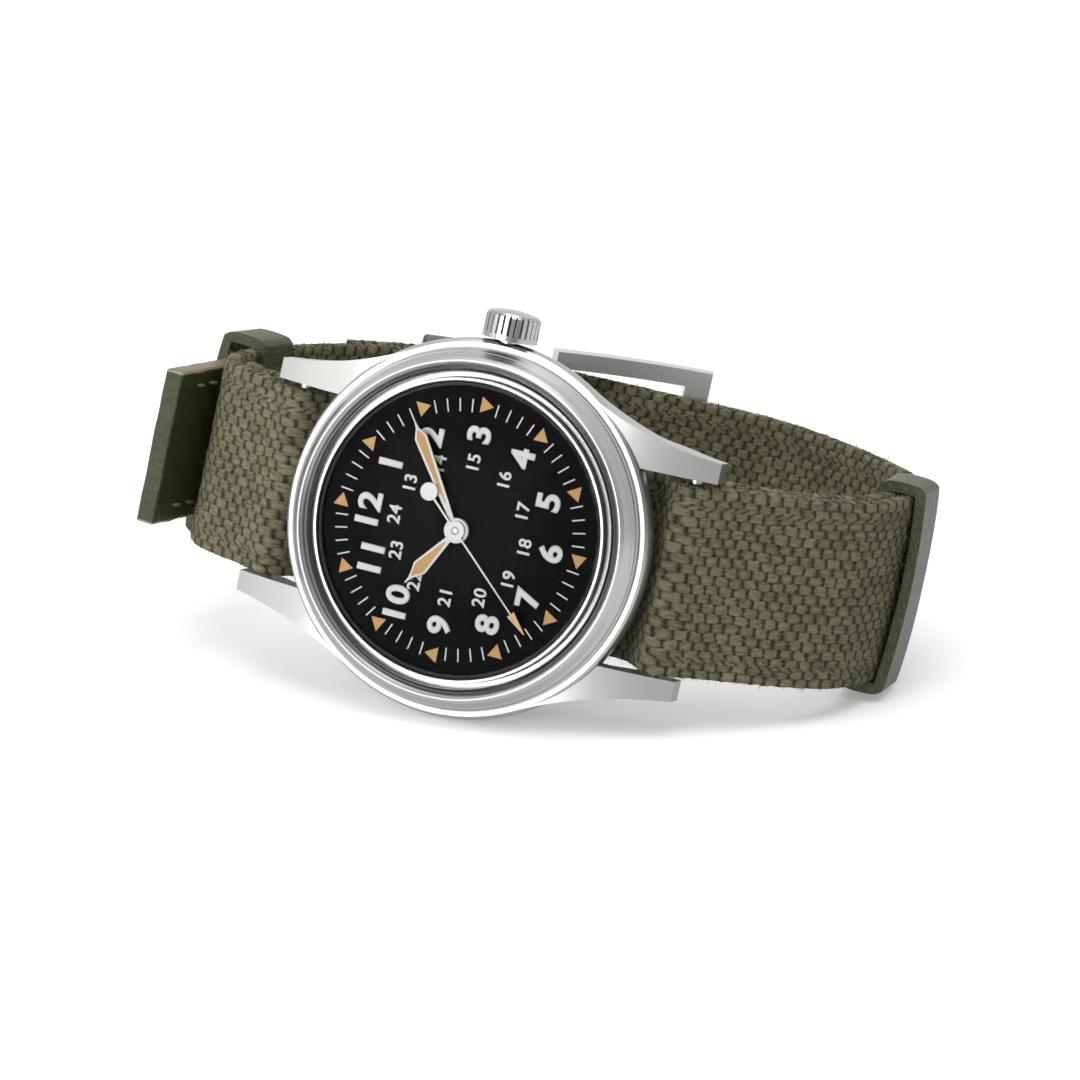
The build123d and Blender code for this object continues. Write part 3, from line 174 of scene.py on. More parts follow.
nickel = steel("nickelled_plate", (196, 192, 182), 0.34)
gilt = steel("gilt_brass", gilt_tone, 0.28)
bright = steel("polished_steel", (198, 198, 202), 0.18)
paint(nickel, "main_plate", "barrel_bridge", "train_bridge", "balance_cock", "pallet_cock")
paint(gilt, "minute_wheel", "hour_wheel", "fourth_wheel", "centre_wheel", "third_wheel",
      "barrel", "balance")
above_dial = sums(gilt, "GREATER_THAN", vectors(gilt, "DOT_PRODUCT", from_dial(gilt), dial_out),
                  pipe_from)
join_to(gilt, mixed(gilt, above_dial, linear(*gilt_tone), linear(*pipe_tone)),
        gilt.node_tree.nodes["Principled BSDF"].inputs["Base Color"])
paint(bright, "escape_wheel", "barrel_arbor", "mainspring", "pallet_fork",
      "hairspring", "bridge_screws", "wheel_screws", "ratchet_screw", "crown_wheel",
      "ratchet_wheel", "click", "sliding_pinion", "winding_pinion", "stem")

# Seals and the holder ring: black rubber gaskets, and a pale moulded ring that
# centres the movement in the case.


def moulded(name, colour, rough, grain_per_m, strength):
    """A moulded skin with a fine, even grain."""
    material, shader = finish_of(name, linear(*colour), rough)
    relief(material, shader, grain(material, place_on(material), grain_per_m), 0.00002, strength)
    return material


paint(moulded("seal_rubber", (26, 26, 27), 0.62, 5000, 0.4),
      "crystal_gasket", "back_gasket", "crown_gasket")
paint(moulded("holder_moulding", (214, 212, 204), 0.5, 3000, 0.3), "movement_holder")

# Dial: a brass disc painted a soft black, with a fine grain that keeps it from
# shining under the crystal.
dial_paint, dial_shader = finish_of("dial_paint", linear(22, 22, 23), 0.6)
dial_place = place_on(dial_paint)
dial_tone = mixed(dial_paint, grain(dial_paint, dial_place, 900, 4), linear(18, 18, 19),
                  linear(26, 26, 27))
dial_shader.inputs["Specular IOR Level"].default_value = 0.04
join_to(dial_paint, dial_tone, dial_shader.inputs["Base Color"])
relief(dial_paint, dial_shader, grain(dial_paint, dial_place, 9000, 3), 0.00001, 0.3)
paint(dial_paint, "dial")

# Minute track and hour triangles: white lacquer and tan luminous paint, printed on
# the dial a few hundredths of a millimetre thick.


def ink(name, colour, rough, mottle):
    """Printed or filled paint with a slight mottle."""
    material, shader = finish_of(name, linear(*colour), rough)
    place = place_on(material)
    darker = linear(*(c * (1 - mottle) for c in colour))
    tone = mixed(material, grain(material, place, 7000, 3), darker, linear(*colour))
    join_to(material, tone, shader.inputs["Base Color"])
    relief(material, shader, grain(material, place, 12000), 0.000008, 0.5)
    return material


tan_tone = (232, 182, 122)
white_ink = ink("white_lacquer", (240, 240, 236), 0.5, 0.04)
tan_lume = ink("tan_lume", tan_tone, 0.75, 0.12)


def clear():
    """Leaves edit mode with nothing selected."""
    if bpy.context.object and bpy.context.object.mode == "EDIT":
        bpy.ops.object.mode_set(mode="OBJECT")
    bpy.ops.object.select_all(action="DESELECT")


def take(piece):
    """Selects one piece alone."""
    clear()
    piece.select_set(True)
    bpy.context.view_layer.objects.active = piece
    return piece


def apply_all(piece):
    """Applies every modifier of a piece."""
    take(piece)
    for modifier in list(piece.modifiers):
        bpy.ops.object.modifier_apply(modifier=modifier.name)


def join_pieces(pieces, name):
    """Joins several pieces into one."""
    take(pieces[0])
    for piece in pieces:
        piece.select_set(True)
    bpy.ops.object.join()
    joined = bpy.context.object
    joined.name = joined.data.name = name
    return joined


def settle(piece, place=Matrix()):
    """Bakes the piece's place into its mesh and lays it where the watch lies."""
    take(piece)
    bpy.ops.object.transform_apply(location=True, rotation=True, scale=True)
    piece.data.transform(dial_up @ place)
    piece.data.update()


def plate(outline_count, radius, thick, corner_turn):
    """A small flat plate with that many corners, its edges softened."""
    bpy.ops.mesh.primitive_circle_add(vertices=outline_count, radius=radius, fill_type="NGON",
                                      rotation=(0, 0, corner_turn))
    piece = bpy.context.object
    bpy.ops.object.transform_apply(location=False, rotation=True, scale=True)
    solid = piece.modifiers.new("thick", "SOLIDIFY")
    solid.thickness, solid.offset = thick, 1
    soft = piece.modifiers.new("soft", "BEVEL")
    soft.width, soft.segments, soft.limit_method = thick / 3, 1, "ANGLE"
    apply_all(piece)
    return piece


def set_round(mark, size, radius, angle):
    """Sizes a flat mark, turns it to point outwards and sets it on a ring of the dial."""
    print_height = 0.005
    mark.scale = (*size, 1)
    mark.rotation_euler = (0, 0, angle)
    mark.location = (-radius * math.sin(angle), radius * math.cos(angle), print_height)
    bpy.ops.object.transform_apply(location=True, rotation=True, scale=True)
    return mark


clear()
tick_size, tick_ring = (0.13, 1.3), 12.4
minute_track = join_pieces(
    [set_round(plate(4, math.sqrt(0.5), 0.02, math.radians(45)), tick_size, tick_ring,
               math.radians(-6 * minute)) for minute in range(60) if minute % 5], "minute_track")
settle(minute_track)
paint(white_ink, minute_track)
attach(minute_track, "watch")

triangle_size, triangle_ring = (1.55, 1.6), 12.63
hour_triangles = join_pieces(
    [set_round(plate(3, 1 / math.sqrt(3), 0.03, math.radians(-90)), triangle_size,
               triangle_ring, math.radians(-30 * hour)) for hour in range(12)], "hour_triangles")
settle(hour_triangles)
paint(tan_lume, hour_triangles)
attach(hour_triangles, "watch")

# Numerals: the twelve hours in bold figures, and the afternoon hours smaller inside
# them, all upright, in the same white lacquer as the minute track.


def numeral(text, radius, hour, height, wide, bold):
    """A printed figure, upright, centred at an hour's place."""
    bpy.ops.object.text_add()
    piece = bpy.context.object
    piece.data.body, piece.data.size = text, 1
    piece.data.bevel_depth, piece.data.bevel_resolution = bold, 0
    piece.data.space_character, piece.data.extrude = 1.08, 0.004
    bpy.ops.object.convert(target="MESH")
    piece = bpy.context.object
    corners = [Vector(corner) for corner in piece.bound_box]
    low = Vector([min(c[axis] for c in corners) for axis in range(3)])
    high = Vector([max(c[axis] for c in corners) for axis in range(3)])
    size = height / (high.y - low.y)
    angle = math.radians(30 * hour)
    middle = (low + high) / 2
    piece.scale = (size * wide, size, 1)
    piece.location = (radius * math.sin(angle) - size * wide * middle.x,
                      radius * math.cos(angle) - size * middle.y, 0.012)
    bpy.ops.object.transform_apply(location=True, rotation=True, scale=True)
    return piece


hour_ring, hour_height, late_ring, late_height = 9.7, 2.55, 6.95, 1.35
clear()
figures = [numeral(str(hour), hour_ring, hour, hour_height, 1.12, 0.042)
           for hour in range(1, 13)]
figures += [numeral(str(hour + 12), late_ring, hour, late_height, 1.0, 0.024)
            for hour in range(1, 13)]
hour_numerals = join_pieces(figures, "hour_numerals")
settle(hour_numerals)
paint(white_ink, hour_numerals)
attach(hour_numerals, "watch")

# Hands: stamped and lacquered white, the hour and minute hands filled with the tan
# paint from the front. The sweep hand has a tan arrow near its tip, and a fine grey
# ring of painted shade round the pin that it sits on.
hand_white = ink("hand_lacquer", (236, 235, 231), 0.4, 0.04)
paint(hand_white, "hour_hand", "minute_hand", "cannon_pinion")
paint(tan_lume, "hour_hand_lume", "minute_hand_lume")


def off_axis(material):
    """How far a point of a piece lies from the hands' axis, in metres."""
    return vectors(material, "LENGTH", vectors(material, "CROSS_PRODUCT", from_dial(material),
                                               dial_out))


lacquer_tone, pin_shade_tone = (244, 243, 240), (84, 84, 84)
arrow_from, pin_radius, pin_shade_in, pin_shade_out = 0.00995, 0.00034, 0.00002, 0.00008
sweep, sweep_shader = finish_of("sweep_lacquer", linear(*lacquer_tone), 0.35)
sweep_angle = math.radians(222.2)
sweep_way = to_three * math.sin(sweep_angle) + to_twelve * math.cos(sweep_angle)
on_arrow = sums(sweep, "GREATER_THAN", vectors(sweep, "DOT_PRODUCT", from_dial(sweep), sweep_way),
                arrow_from)
# Painted shade: a thin grey ring on the hub at the pin's edge, where the hand meets its pin.
off_pin_shade = sums(sweep, "ABSOLUTE", sums(sweep, "SUBTRACT", off_axis(sweep), pin_radius))
off_pin_shade = ranged(sweep, off_pin_shade, 0.0, 1.0, pin_shade_in, pin_shade_out)
sweep_tone = mixed(sweep, on_arrow, linear(*lacquer_tone), linear(*tan_tone))
join_to(sweep, mixed(sweep, off_pin_shade, linear(*pin_shade_tone), sweep_tone),
        sweep_shader.inputs["Base Color"])
relief(sweep, sweep_shader, grain(sweep, place_on(sweep), 12000), 0.000008, 0.5)
paint(sweep, "seconds_hand")

# Crystal: domed mineral glass pressed into the bezel's bore. It shows as highlights
# and a darker rim, and the dial is read straight through it.
glass, glass_shader = finish_of("crystal_glass", (0, 0, 0, 1), 0.03)
glass_shader.inputs["IOR"].default_value = 1.45
see_through = node(glass, "ShaderNodeBsdfTransparent", [("Color", (0.98, 0.985, 0.985, 1))])
facing = node(glass, "ShaderNodeFresnel", [("IOR", 1.3)])
pane = node(glass, "ShaderNodeMixShader", [(0, facing.outputs[0]),
                                           (1, see_through.outputs[0]),
                                           (2, glass_shader.outputs[0])])
join_to(glass, pane.outputs[0], glass.node_tree.nodes["Material Output"].inputs["Surface"])
paint(glass, "crystal")

# Bezel: turned from steel and pressed over the neck. Its crest and the slope inside it
# are polished in narrow steps; the slope outside keeps the fine rings of the tool, as
# the flange ring under the crystal does. The outline is radius and height over the dial.
bezel_outline = ((16.52, -0.64), (16.52, -1.57), (18.08, -1.57), (18.1, -1.22), (17.98, -1.19),
                 (17.93, -1.1), (17.9, -0.82), (17.72, -0.52), (17.66, -0.5), (17.32, 0.02),
                 (17.27, 0.14), (17.05, 0.46), (17.0, 0.49), (16.9, 0.66), (16.82, 0.73),
                 (16.72, 0.74), (16.6, 0.68), (16.55, 0.61), (16.3, 0.47), (16.24, 0.4),
                 (16.03, 0.3), (15.97, 0.22), (15.95, -0.34), (15.22, -0.34), (15.22, -0.64))
clear()
bpy.ops.mesh.primitive_circle_add(vertices=len(bezel_outline), radius=1)
turned_bezel = bpy.context.object
for vertex, (out, height) in zip(turned_bezel.data.vertices, bezel_outline):
    vertex.co = (out, 0, height)
turning = turned_bezel.modifiers.new("turning", "SCREW")
turning.steps = turning.render_steps = 180
turning.use_merge_vertices = True
apply_all(turned_bezel)
bpy.ops.object.mode_set(mode="EDIT")
bpy.ops.mesh.select_all(action="SELECT")
bpy.ops.mesh.remove_doubles(threshold=0.001)
bpy.ops.mesh.normals_make_consistent(inside=False)
bpy.ops.object.mode_set(mode="OBJECT")
turned_bezel.name = turned_bezel.data.name = "turned_bezel"
settle(turned_bezel)
bpy.ops.object.shade_smooth_by_angle(angle=math.radians(24))
ringed, ringed_shader = finish_of("turned_steel", linear(184, 184, 182), 0.25, 1.0)
ring_radius = sums(ringed, "MULTIPLY", off_axis(ringed), 1000.0)
tool_rings = node(ringed, "ShaderNodeTexNoise", [
    ("W", ring_radius), ("Scale", 5.0), ("Detail", 5.0), ("Roughness", 0.75)],
                  noise_dimensions="1D").outputs["Fac"]
join_to(ringed, ranged(ringed, tool_rings, 0.2, 0.4, 0.3, 0.7),
        ringed_shader.inputs["Roughness"])
join_to(ringed, mixed(ringed, tool_rings, linear(146, 146, 145), linear(200, 200, 198)),
        ringed_shader.inputs["Base Color"])
relief(ringed, ringed_shader, tool_rings, 0.00004, 0.3)
paint(ringed, turned_bezel, "flange_ring")
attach(turned_bezel, "watch")
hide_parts("bezel")

# Long strap: one length of coarse olive canvas, two yarns woven as one so that the
# knots stand up, sewn along both edges, with slots for the tongue.


def path_curve(name, points):
    """A smooth line in the plane across the case, drawn flat; it leads a strap's bends."""
    line = bpy.data.curves.new(name, "CURVE")
    line.dimensions, line.twist_mode, line.resolution_u = "3D", "Z_UP", 24
    spline = line.splines.new("NURBS")
    spline.points.add(len(points) - 1)
    for point, (across, deep) in zip(spline.points, points):
        point.co = (across, deep, 0, 1)
    spline.order_u, spline.use_endpoint_u = 3, True
    holder = bpy.data.objects.new(name, line)
    bpy.context.collection.objects.link(holder)
    return holder


def curve_length(holder):
    """The length of a path."""
    graph = bpy.context.evaluated_depsgraph_get()
    points = [v.co for v in holder.evaluated_get(graph).to_mesh().vertices]
    return sum((b - a).length for a, b in zip(points, points[1:]))


def blank(length, width, thick, step, step_across, rounded):
    """A flat strip, its UV map in millimetres along and across."""
    bpy.ops.mesh.primitive_grid_add(x_subdivisions=round(length / step),
                                    y_subdivisions=round(width / step_across), size=1)
    piece = bpy.context.object
    piece.scale = (length, width, 1)
    piece.location = (length / 2, 0, 0)
    bpy.ops.object.transform_apply(location=True, rotation=True, scale=True)
    layer = piece.data.uv_layers.active
    for loop in piece.data.loops:
        layer.data[loop.index].uv = piece.data.vertices[loop.vertex_index].co.xy
    solid = piece.modifiers.new("thick", "SOLIDIFY")
    solid.thickness, solid.offset, solid.use_even_offset = thick, 0, True
    soft = piece.modifiers.new("soft", "BEVEL")
    soft.width, soft.segments, soft.limit_method = rounded, 3, "ANGLE"
    apply_all(piece)
    return piece


strap_w, strap_t, seam_in = 19, 1.34, 1.9
knot_l, knot_w, weave_rise = 1.5, 0.95, 0.19


def knot_rise(along, across):
    """How far the weave stands up at a place on the strip, from 0 between knots to 1."""
    line = math.floor(across / knot_w + 0.001)
    share_l = (along / knot_l + 0.5 * (line % 2)) % 1
    share_w = (across / knot_w) % 1
    return (1 - abs(2 * share_l - 1) ** 2) * (1 - 0.7 * abs(2 * share_w - 1) ** 2)


def raise_weave(piece, width, rise):
    """Shapes the knots of a flat strip, sways its yarns and roughens its edges."""
    edge_w, dip_half, weave_seed = 0.7, 0.5, 5
    noise.seed_set(weave_seed)
    for vertex in piece.data.vertices:
        x, y, z = vertex.co
        sway = noise.noise_vector(Vector((0.45 * x, 0.45 * y, 3)))
        fray = noise.noise(Vector((1.3 * x, 1.3 * y, 7)))
        edge = max(0, abs(y) - width / 2 + edge_w) / edge_w
        knob = 1 - abs(2 * ((x / knot_l + 0.25) % 1) - 1) ** 2
        seam = max(0, 1 - abs(abs(y) - width / 2 + seam_in) / dip_half)
        height = rise * (knot_rise(x, y) * (1 + 0.5 * fray) - 0.6 - 0.5 * seam)
        rough_edge = edge * (0.16 * knob + 0.12 * fray - 0.08)
        vertex.co.z += math.copysign(height, z)
        vertex.co.x += 0.2 * sway.x
        vertex.co.y += 0.2 * sway.y * (1 - edge) + math.copysign(rough_edge, y)


def fibres(name, length, width, thick, count, seed):
    """Loose ends of yarn that stand out of a flat strip, each a thin bent blade."""
    chance = random.Random(seed)
    blade_half, rooted = 0.026, 0.12
    corners, faces, places = [], [], []
    for _ in range(count):
        x = chance.uniform(0, length)
        at_edge = chance.random() < 0.45
        side = chance.choice((-1, 1))
        y = side * (width / 2 - 0.1) if at_edge else chance.uniform(-width / 2, width / 2)
        z = chance.uniform(-thick, thick) / 2 if at_edge else chance.choice((-1, 1)) * thick / 2
        out = Vector((0, side, 0)) if at_edge else Vector((0, 0, math.copysign(1, z)))
        lean_to = Vector([chance.uniform(-1, 1) for _ in range(3)])
        way = (out + 0.9 * lean_to).normalized()
        end = (out * 0.25 + lean_to).normalized()
        reach = chance.uniform(0.25, 0.75)
        wide = way.cross(lean_to).normalized() * blade_half
        foot = Vector((x, y, z)) - rooted * out
        knee = foot + reach * way
        tip = knee + 0.55 * reach * end
        first = len(corners)
        corners += [foot - wide, foot + wide, knee + 0.7 * wide, knee - 0.7 * wide, tip]
        faces += [(first, first + 1, first + 2, first + 3), (first + 3, first + 2, first + 4)]
        places += [(x, y)] * 7
    mesh = bpy.data.meshes.new(name)
    mesh.from_pydata(corners, [], faces)
    layer = mesh.uv_layers.new(name="UVMap")
    for loop, place in zip(layer.data, places):
        loop.uv = place
    piece = bpy.data.objects.new(name, mesh)
    bpy.context.collection.objects.link(piece)
    return piece


def slots_cut(piece, places):
    """Cuts slots through a flat strip: places are (middle, length, width)."""
    cutters = []
    for middle, length, width in places:
        bpy.ops.mesh.primitive_cylinder_add(vertices=24, radius=width / 2, depth=9,
                                            location=(middle, 0, 0))
        cutter = bpy.context.object
        for vertex in cutter.data.vertices:
            vertex.co.x += math.copysign(max(length - width, 0) / 2, vertex.co.x)
        bpy.ops.object.transform_apply(location=True, rotation=True, scale=True)
        cutters.append(cutter)
    cutter = join_pieces(cutters, "slot_cutter")
    cut = piece.modifiers.new("slots", "BOOLEAN")
    cut.operation, cut.object, cut.solver = "DIFFERENCE", cutter, "EXACT"
    apply_all(piece)
    bpy.data.objects.remove(cutter)


bar_depth, lean = -6.3, math.tan(math.radians(6.8))
# A path is drawn across the case and down from the dial; into_loop lays it to the
# watch's axes, and leans the loop towards 3 o'clock below the spring bars.
into_loop = Matrix(((0, -lean, 1, lean * bar_depth), (1, 0, 0, 0), (0, 1, 0, 0), (0, 0, 0, 1)))


def wrap(piece, path, name):
    """Bends a flat strip along a path across the case, and lays it round the loop."""
    take(piece)
    piece.rotation_euler = (math.radians(90), 0, 0)
    bpy.ops.object.transform_apply(location=True, rotation=True, scale=True)
    bend = piece.modifiers.new("bend", "CURVE")
    bend.object, bend.deform_axis = path, "POS_X"
    apply_all(piece)
    piece.name = piece.data.name = name
    settle(piece, into_loop)
    bpy.ops.object.shade_smooth()


canvas, canvas_shader = finish_of("olive_canvas", linear(98, 98, 73), 0.92)
canvas_uv = place_on(canvas, "UV")
waver = node(canvas, "ShaderNodeTexNoise", [("Vector", canvas_uv), ("Scale", 1.6),
                                            ("Detail", 2.0)]).outputs["Color"]
waver = vectors(canvas, "SUBTRACT", waver, (0.5, 0.5, 0.5))
swayed = vectors(canvas, "MULTIPLY_ADD", waver, (0.42, 0.3, 0), canvas_uv)
strip_xy = node(canvas, "ShaderNodeSeparateXYZ", [(0, swayed)])
plain_xy = node(canvas, "ShaderNodeSeparateXYZ", [(0, canvas_uv)])
knot_slant = 0.06
knot_line = sums(canvas, "DIVIDE", strip_xy.outputs[1], knot_w)
line_number = sums(canvas, "FLOOR", knot_line)
line_odd = sums(canvas, "MODULO", sums(canvas, "ADD", line_number, 1000.0), 2.0)
across_knot = sums(canvas, "FRACT", knot_line)
knot_place = sums(canvas, "MULTIPLY_ADD", line_odd, 0.5,
                  sums(canvas, "DIVIDE", strip_xy.outputs[0], knot_l))
knot_place = sums(canvas, "MULTIPLY_ADD", sums(canvas, "SUBTRACT", across_knot, 0.5),
                  knot_slant, knot_place)
along_knot = sums(canvas, "FRACT", knot_place)
knot_name = node(canvas, "ShaderNodeCombineXYZ", [(0, sums(canvas, "FLOOR", knot_place)),
                                                  (1, line_number)]).outputs[0]
knot_own = node(canvas, "ShaderNodeTexWhiteNoise", [("Vector", knot_name)]).outputs["Value"]


def dome(share, power):
    """A rounded rise over one knot, zero at both its ends."""
    centred = sums(canvas, "ABSOLUTE", sums(canvas, "MULTIPLY_ADD", share, 2.0, -1.0))
    return sums(canvas, "SUBTRACT", 1.0, sums(canvas, "POWER", centred, power))


def twist(turn):
    """The fibres of a yarn, which run at a turn to the strip's length."""
    way = node(canvas, "ShaderNodeMapping", [("Vector", swayed), ("Scale", (0.7, 3.3, 1)),
                                             ("Rotation", (0, 0, turn))])
    return grain(canvas, way.outputs[0], 1.0, 4, 0.75)


knot_height = sums(canvas, "MULTIPLY", dome(along_knot, 2.1),
                   sums(canvas, "MULTIPLY_ADD", dome(across_knot, 2.0), 0.48, 0.52))
knot_height = sums(canvas, "MULTIPLY", knot_height,
                   sums(canvas, "MULTIPLY_ADD", knot_own, 0.4, 0.7))
yarn = ranged(canvas, mixed(canvas, line_odd, twist(0.7), twist(-0.45)), 0.0, 1.0, 0.3, 0.7,
              interpolation_type="SMOOTHSTEP")
fibre = grain(canvas, canvas_uv, 2.6, 6, 0.8)
seam_half, stitch_slant, stitch_gap = 0.27, 1.3, 1.15
edge_distance = sums(canvas, "SUBTRACT", strap_w / 2,
                     sums(canvas, "ABSOLUTE", plain_xy.outputs[1]))
from_seam = sums(canvas, "ABSOLUTE", sums(canvas, "SUBTRACT", edge_distance, seam_in))
in_seam = sums(canvas, "LESS_THAN", from_seam, seam_half)
stitch_place = sums(canvas, "MULTIPLY_ADD", edge_distance, stitch_slant, plain_xy.outputs[0])
stitch = dome(sums(canvas, "FRACT", sums(canvas, "DIVIDE", stitch_place, stitch_gap)), 2.0)
seam_height = sums(canvas, "MULTIPLY_ADD", stitch, 0.5, 0.1)
weave_height = node(canvas, "ShaderNodeMix", [("Factor", in_seam), (2, knot_height),
                                              (3, seam_height)], data_type="FLOAT").outputs[0]
cloth_height = sums(canvas, "MULTIPLY_ADD", yarn, 0.5, weave_height)
cloth_height = sums(canvas, "MULTIPLY_ADD", fibre, 0.7, cloth_height)
relief(canvas, canvas_shader, cloth_height, 0.00036)
# Painted shade: the colour goes dark where the weave is low, in the gaps between the knots and
# between the stitches of the seams.
painted_gap_shade = ranged(canvas, sums(canvas, "MULTIPLY_ADD", fibre, 1.1, weave_height), 0.0, 1.0,
               0.5, 1.25, interpolation_type="SMOOTHSTEP")
yarn_tone = mixed(canvas, yarn, linear(50, 51, 34), linear(160, 154, 118))
yarn_tone = mixed(canvas, ranged(canvas, fibre, 0.0, 0.6, 0.42, 0.62), yarn_tone,
                  linear(158, 153, 120))
own_tone = mixed(canvas, knot_own, linear(78, 80, 56), linear(126, 118, 88))
yarn_tone = mixed(canvas, 0.35, yarn_tone, own_tone)
join_to(canvas, mixed(canvas, painted_gap_shade, linear(26, 27, 17), yarn_tone),
        canvas_shader.inputs["Base Color"])
for socket, value in (("Specular IOR Level", 0.15), ("Sheen Weight", 0.08),
                      ("Sheen Roughness", 0.6)):
    canvas_shader.inputs[socket].default_value = value
loose_yarn, loose_shader = finish_of("loose_yarn", linear(126, 121, 92), 0.95)
loose_fade = grain(loose_yarn, place_on(loose_yarn, "UV"), 3.0)
join_to(loose_yarn, mixed(loose_yarn, loose_fade, linear(78, 78, 52), linear(166, 160, 128)),
        loose_shader.inputs["Base Color"])

# The strap's route, in millimetres across the case and down from the dial. Points on
# the loop are shares of its reach towards 6 o'clock and of its depth.
bar_across, bar_r, back_depth = 21.0, 0.75, -6.5
six_reach, loop_depth = 40.0, 45.0
canvas_t, leather_t, soft_gap, seam_gap = 1.4, 2.0, 0.3, 0.1
bar_bend = bar_r + seam_gap + canvas_t / 2
under_case = back_depth - soft_gap - canvas_t / 2
ply_gap, leather_gap = canvas_t + soft_gap, (canvas_t + leather_t) / 2 + soft_gap


def on_loop(*shares):
    """Points from (share of the reach to 6 o'clock, share of the depth)."""
    return [Vector((-six_reach * six, -loop_depth * deep)) for six, deep in shares]


def heading(degrees):
    """A step of one millimetre, turned by an angle up from the way to 12 o'clock."""
    return Vector((math.cos(math.radians(degrees)), math.sin(math.radians(degrees))))


def over_bar(side, fall, run, rise=48):
    """Points that lead the strap over a spring bar: under the case, over it and beyond."""
    reach = bar_bend / math.cos(math.radians((rise + fall) / 2))
    peak = Vector((bar_across, bar_depth)) + reach * heading(90 + (rise - fall) / 2)
    low = peak - heading(rise) * ((peak.y - under_case) / math.sin(math.radians(rise)))
    return [Vector((side * point.x, point.y)) for point in (low, peak, peak + run * heading(-fall))]


def beside(route, distance):
    """A route that runs outside another by a distance, corner for corner."""
    runs = [(end - start).normalized() for start, end in zip(route, route[1:])]
    normals = [Vector((run.y, -run.x)) for run in runs]
    shifted = []
    for index, point in enumerate(route):
        first, last = normals[max(index - 1, 0)], normals[min(index, len(normals) - 1)]
        shifted.append(point + (first + last) * (distance / (1 + first.dot(last))))
    return shifted


def rounded_at(route, bends):
    """Adds a point before and after some corners, so that the line keeps their radius."""
    guided = []
    for index, corner in enumerate(route):
        if index not in bends:
            guided.append(corner)
            continue
        sides = [route[index - 1] - corner, route[index + 1] - corner]
        room = 2 * bends[index] / math.tan(sides[0].angle(sides[1]) / 2)
        before, after = [corner + side.normalized() * min(room, side.length / 2)
                         for side in sides]
        if (guided[-1] - before).length > 0.001:
            guided.append(before)
        guided += [corner, after]
    return guided


buckle_bar_r, fold_slope, fold_leg = 0.7, 8, 1.5
fold_r = buckle_bar_r + canvas_t / 2
buckle_bar = on_loop((-0.125, 0.892))[0]
fold = [buckle_bar - forward * heading(fold_slope) + outer * heading(fold_slope - 90)
        for forward, outer in ((-fold_leg, -fold_r), (fold_r, -fold_r), (fold_r, fold_r),
                               (-fold_leg, fold_r))]
buckle_end = on_loop((-0.322, 0.905), (-0.442, 0.858), (-0.557, 0.784), (-0.655, 0.680),
                     (-0.727, 0.558), (-0.775, 0.431), (-0.798, 0.320), (-0.780, 0.231),
                     (-0.712, 0.174))
six_end = on_loop((0.750, 0.236), (0.865, 0.316), (0.930, 0.400), (0.972, 0.585),
                  (0.905, 0.742), (0.800, 0.827), (0.675, 0.902), (0.547, 0.960),
                  (0.412, 0.993), (0.222, 0.989), (-0.156, 0.967))
fold_back = [fold[3], buckle_end[0], buckle_end[0].lerp(buckle_end[1], 0.3)]
fold_back = beside(fold_back, -ply_gap)[:0:-1]
seam_end = buckle_end[2].lerp(buckle_end[3], 0.85)
long_route = (fold_back + fold + buckle_end + over_bar(1, 30, 3.8)[::-1] + over_bar(-1, 38, 6.5)
              + six_end + beside(fold[3:] + buckle_end[:3] + [seam_end], ply_gap)[1:])
fold_from, bars_from = len(fold_back) + 1, len(fold_back + fold + buckle_end) + 1
bends = {fold_from: fold_r, fold_from + 1: fold_r}
bends.update({bars_from + corner: bar_bend for corner in range(4)})
long_points = rounded_at(long_route, bends)
buckle_slot, hole_from, hole_pitch = (11.1, 5.6, 2.8), 190.4, 6.5
tongue_holes = [(hole_from - hole_pitch * step, 4.2, 2.8) for step in range(-4, 4)]
clear()
long_path = path_curve("long_path", long_points)
long_length = curve_length(long_path)
long_strap = blank(long_length, strap_w, strap_t, knot_l / 4, knot_w / 2, 0.5)
raise_weave(long_strap, strap_w, weave_rise)
slots_cut(long_strap, [buckle_slot] + tongue_holes)
wrap(long_strap, long_path, "canvas_strap")
paint(canvas, long_strap)
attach(long_strap, "watch")
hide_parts("main_strap")
clear()
long_fibres = fibres("strap_fibres", long_length, strap_w, strap_t, 9500, 11)
wrap(long_fibres, long_path, "strap_fibres")
paint(loose_yarn, long_fibres)
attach(long_fibres, "watch")

# Second strip: the shorter length of the same canvas under the case, with its end
# turned into the keeper on the side of 6 o'clock.
second_flat, second_depth = 18.5, under_case - ply_gap
second_points = (on_loop((-0.748, 0.264), (-0.700, 0.217), (-0.608, 0.199))
                 + [Vector((second_flat, second_depth)), Vector((-second_flat, second_depth))]
                 + on_loop((0.610, 0.220))
                 + beside(six_end[:3] + [six_end[2].lerp(six_end[3], 0.8)], -ply_gap))
clear()
second_path = path_curve("second_path", second_points)
second_length = curve_length(second_path)
second_strap = blank(second_length, strap_w, strap_t, knot_l / 4, knot_w / 2, 0.5)
raise_weave(second_strap, strap_w, weave_rise)
wrap(second_strap, second_path, "canvas_second_strip")
paint(canvas, second_strap)
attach(second_strap, "watch")
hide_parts("second_strip")
clear()
second_fibres = fibres("second_strip_fibres", second_length, strap_w, strap_t, 2600, 12)
wrap(second_fibres, second_path, "second_strip_fibres")
paint(loose_yarn, second_fibres)
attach(second_fibres, "watch")

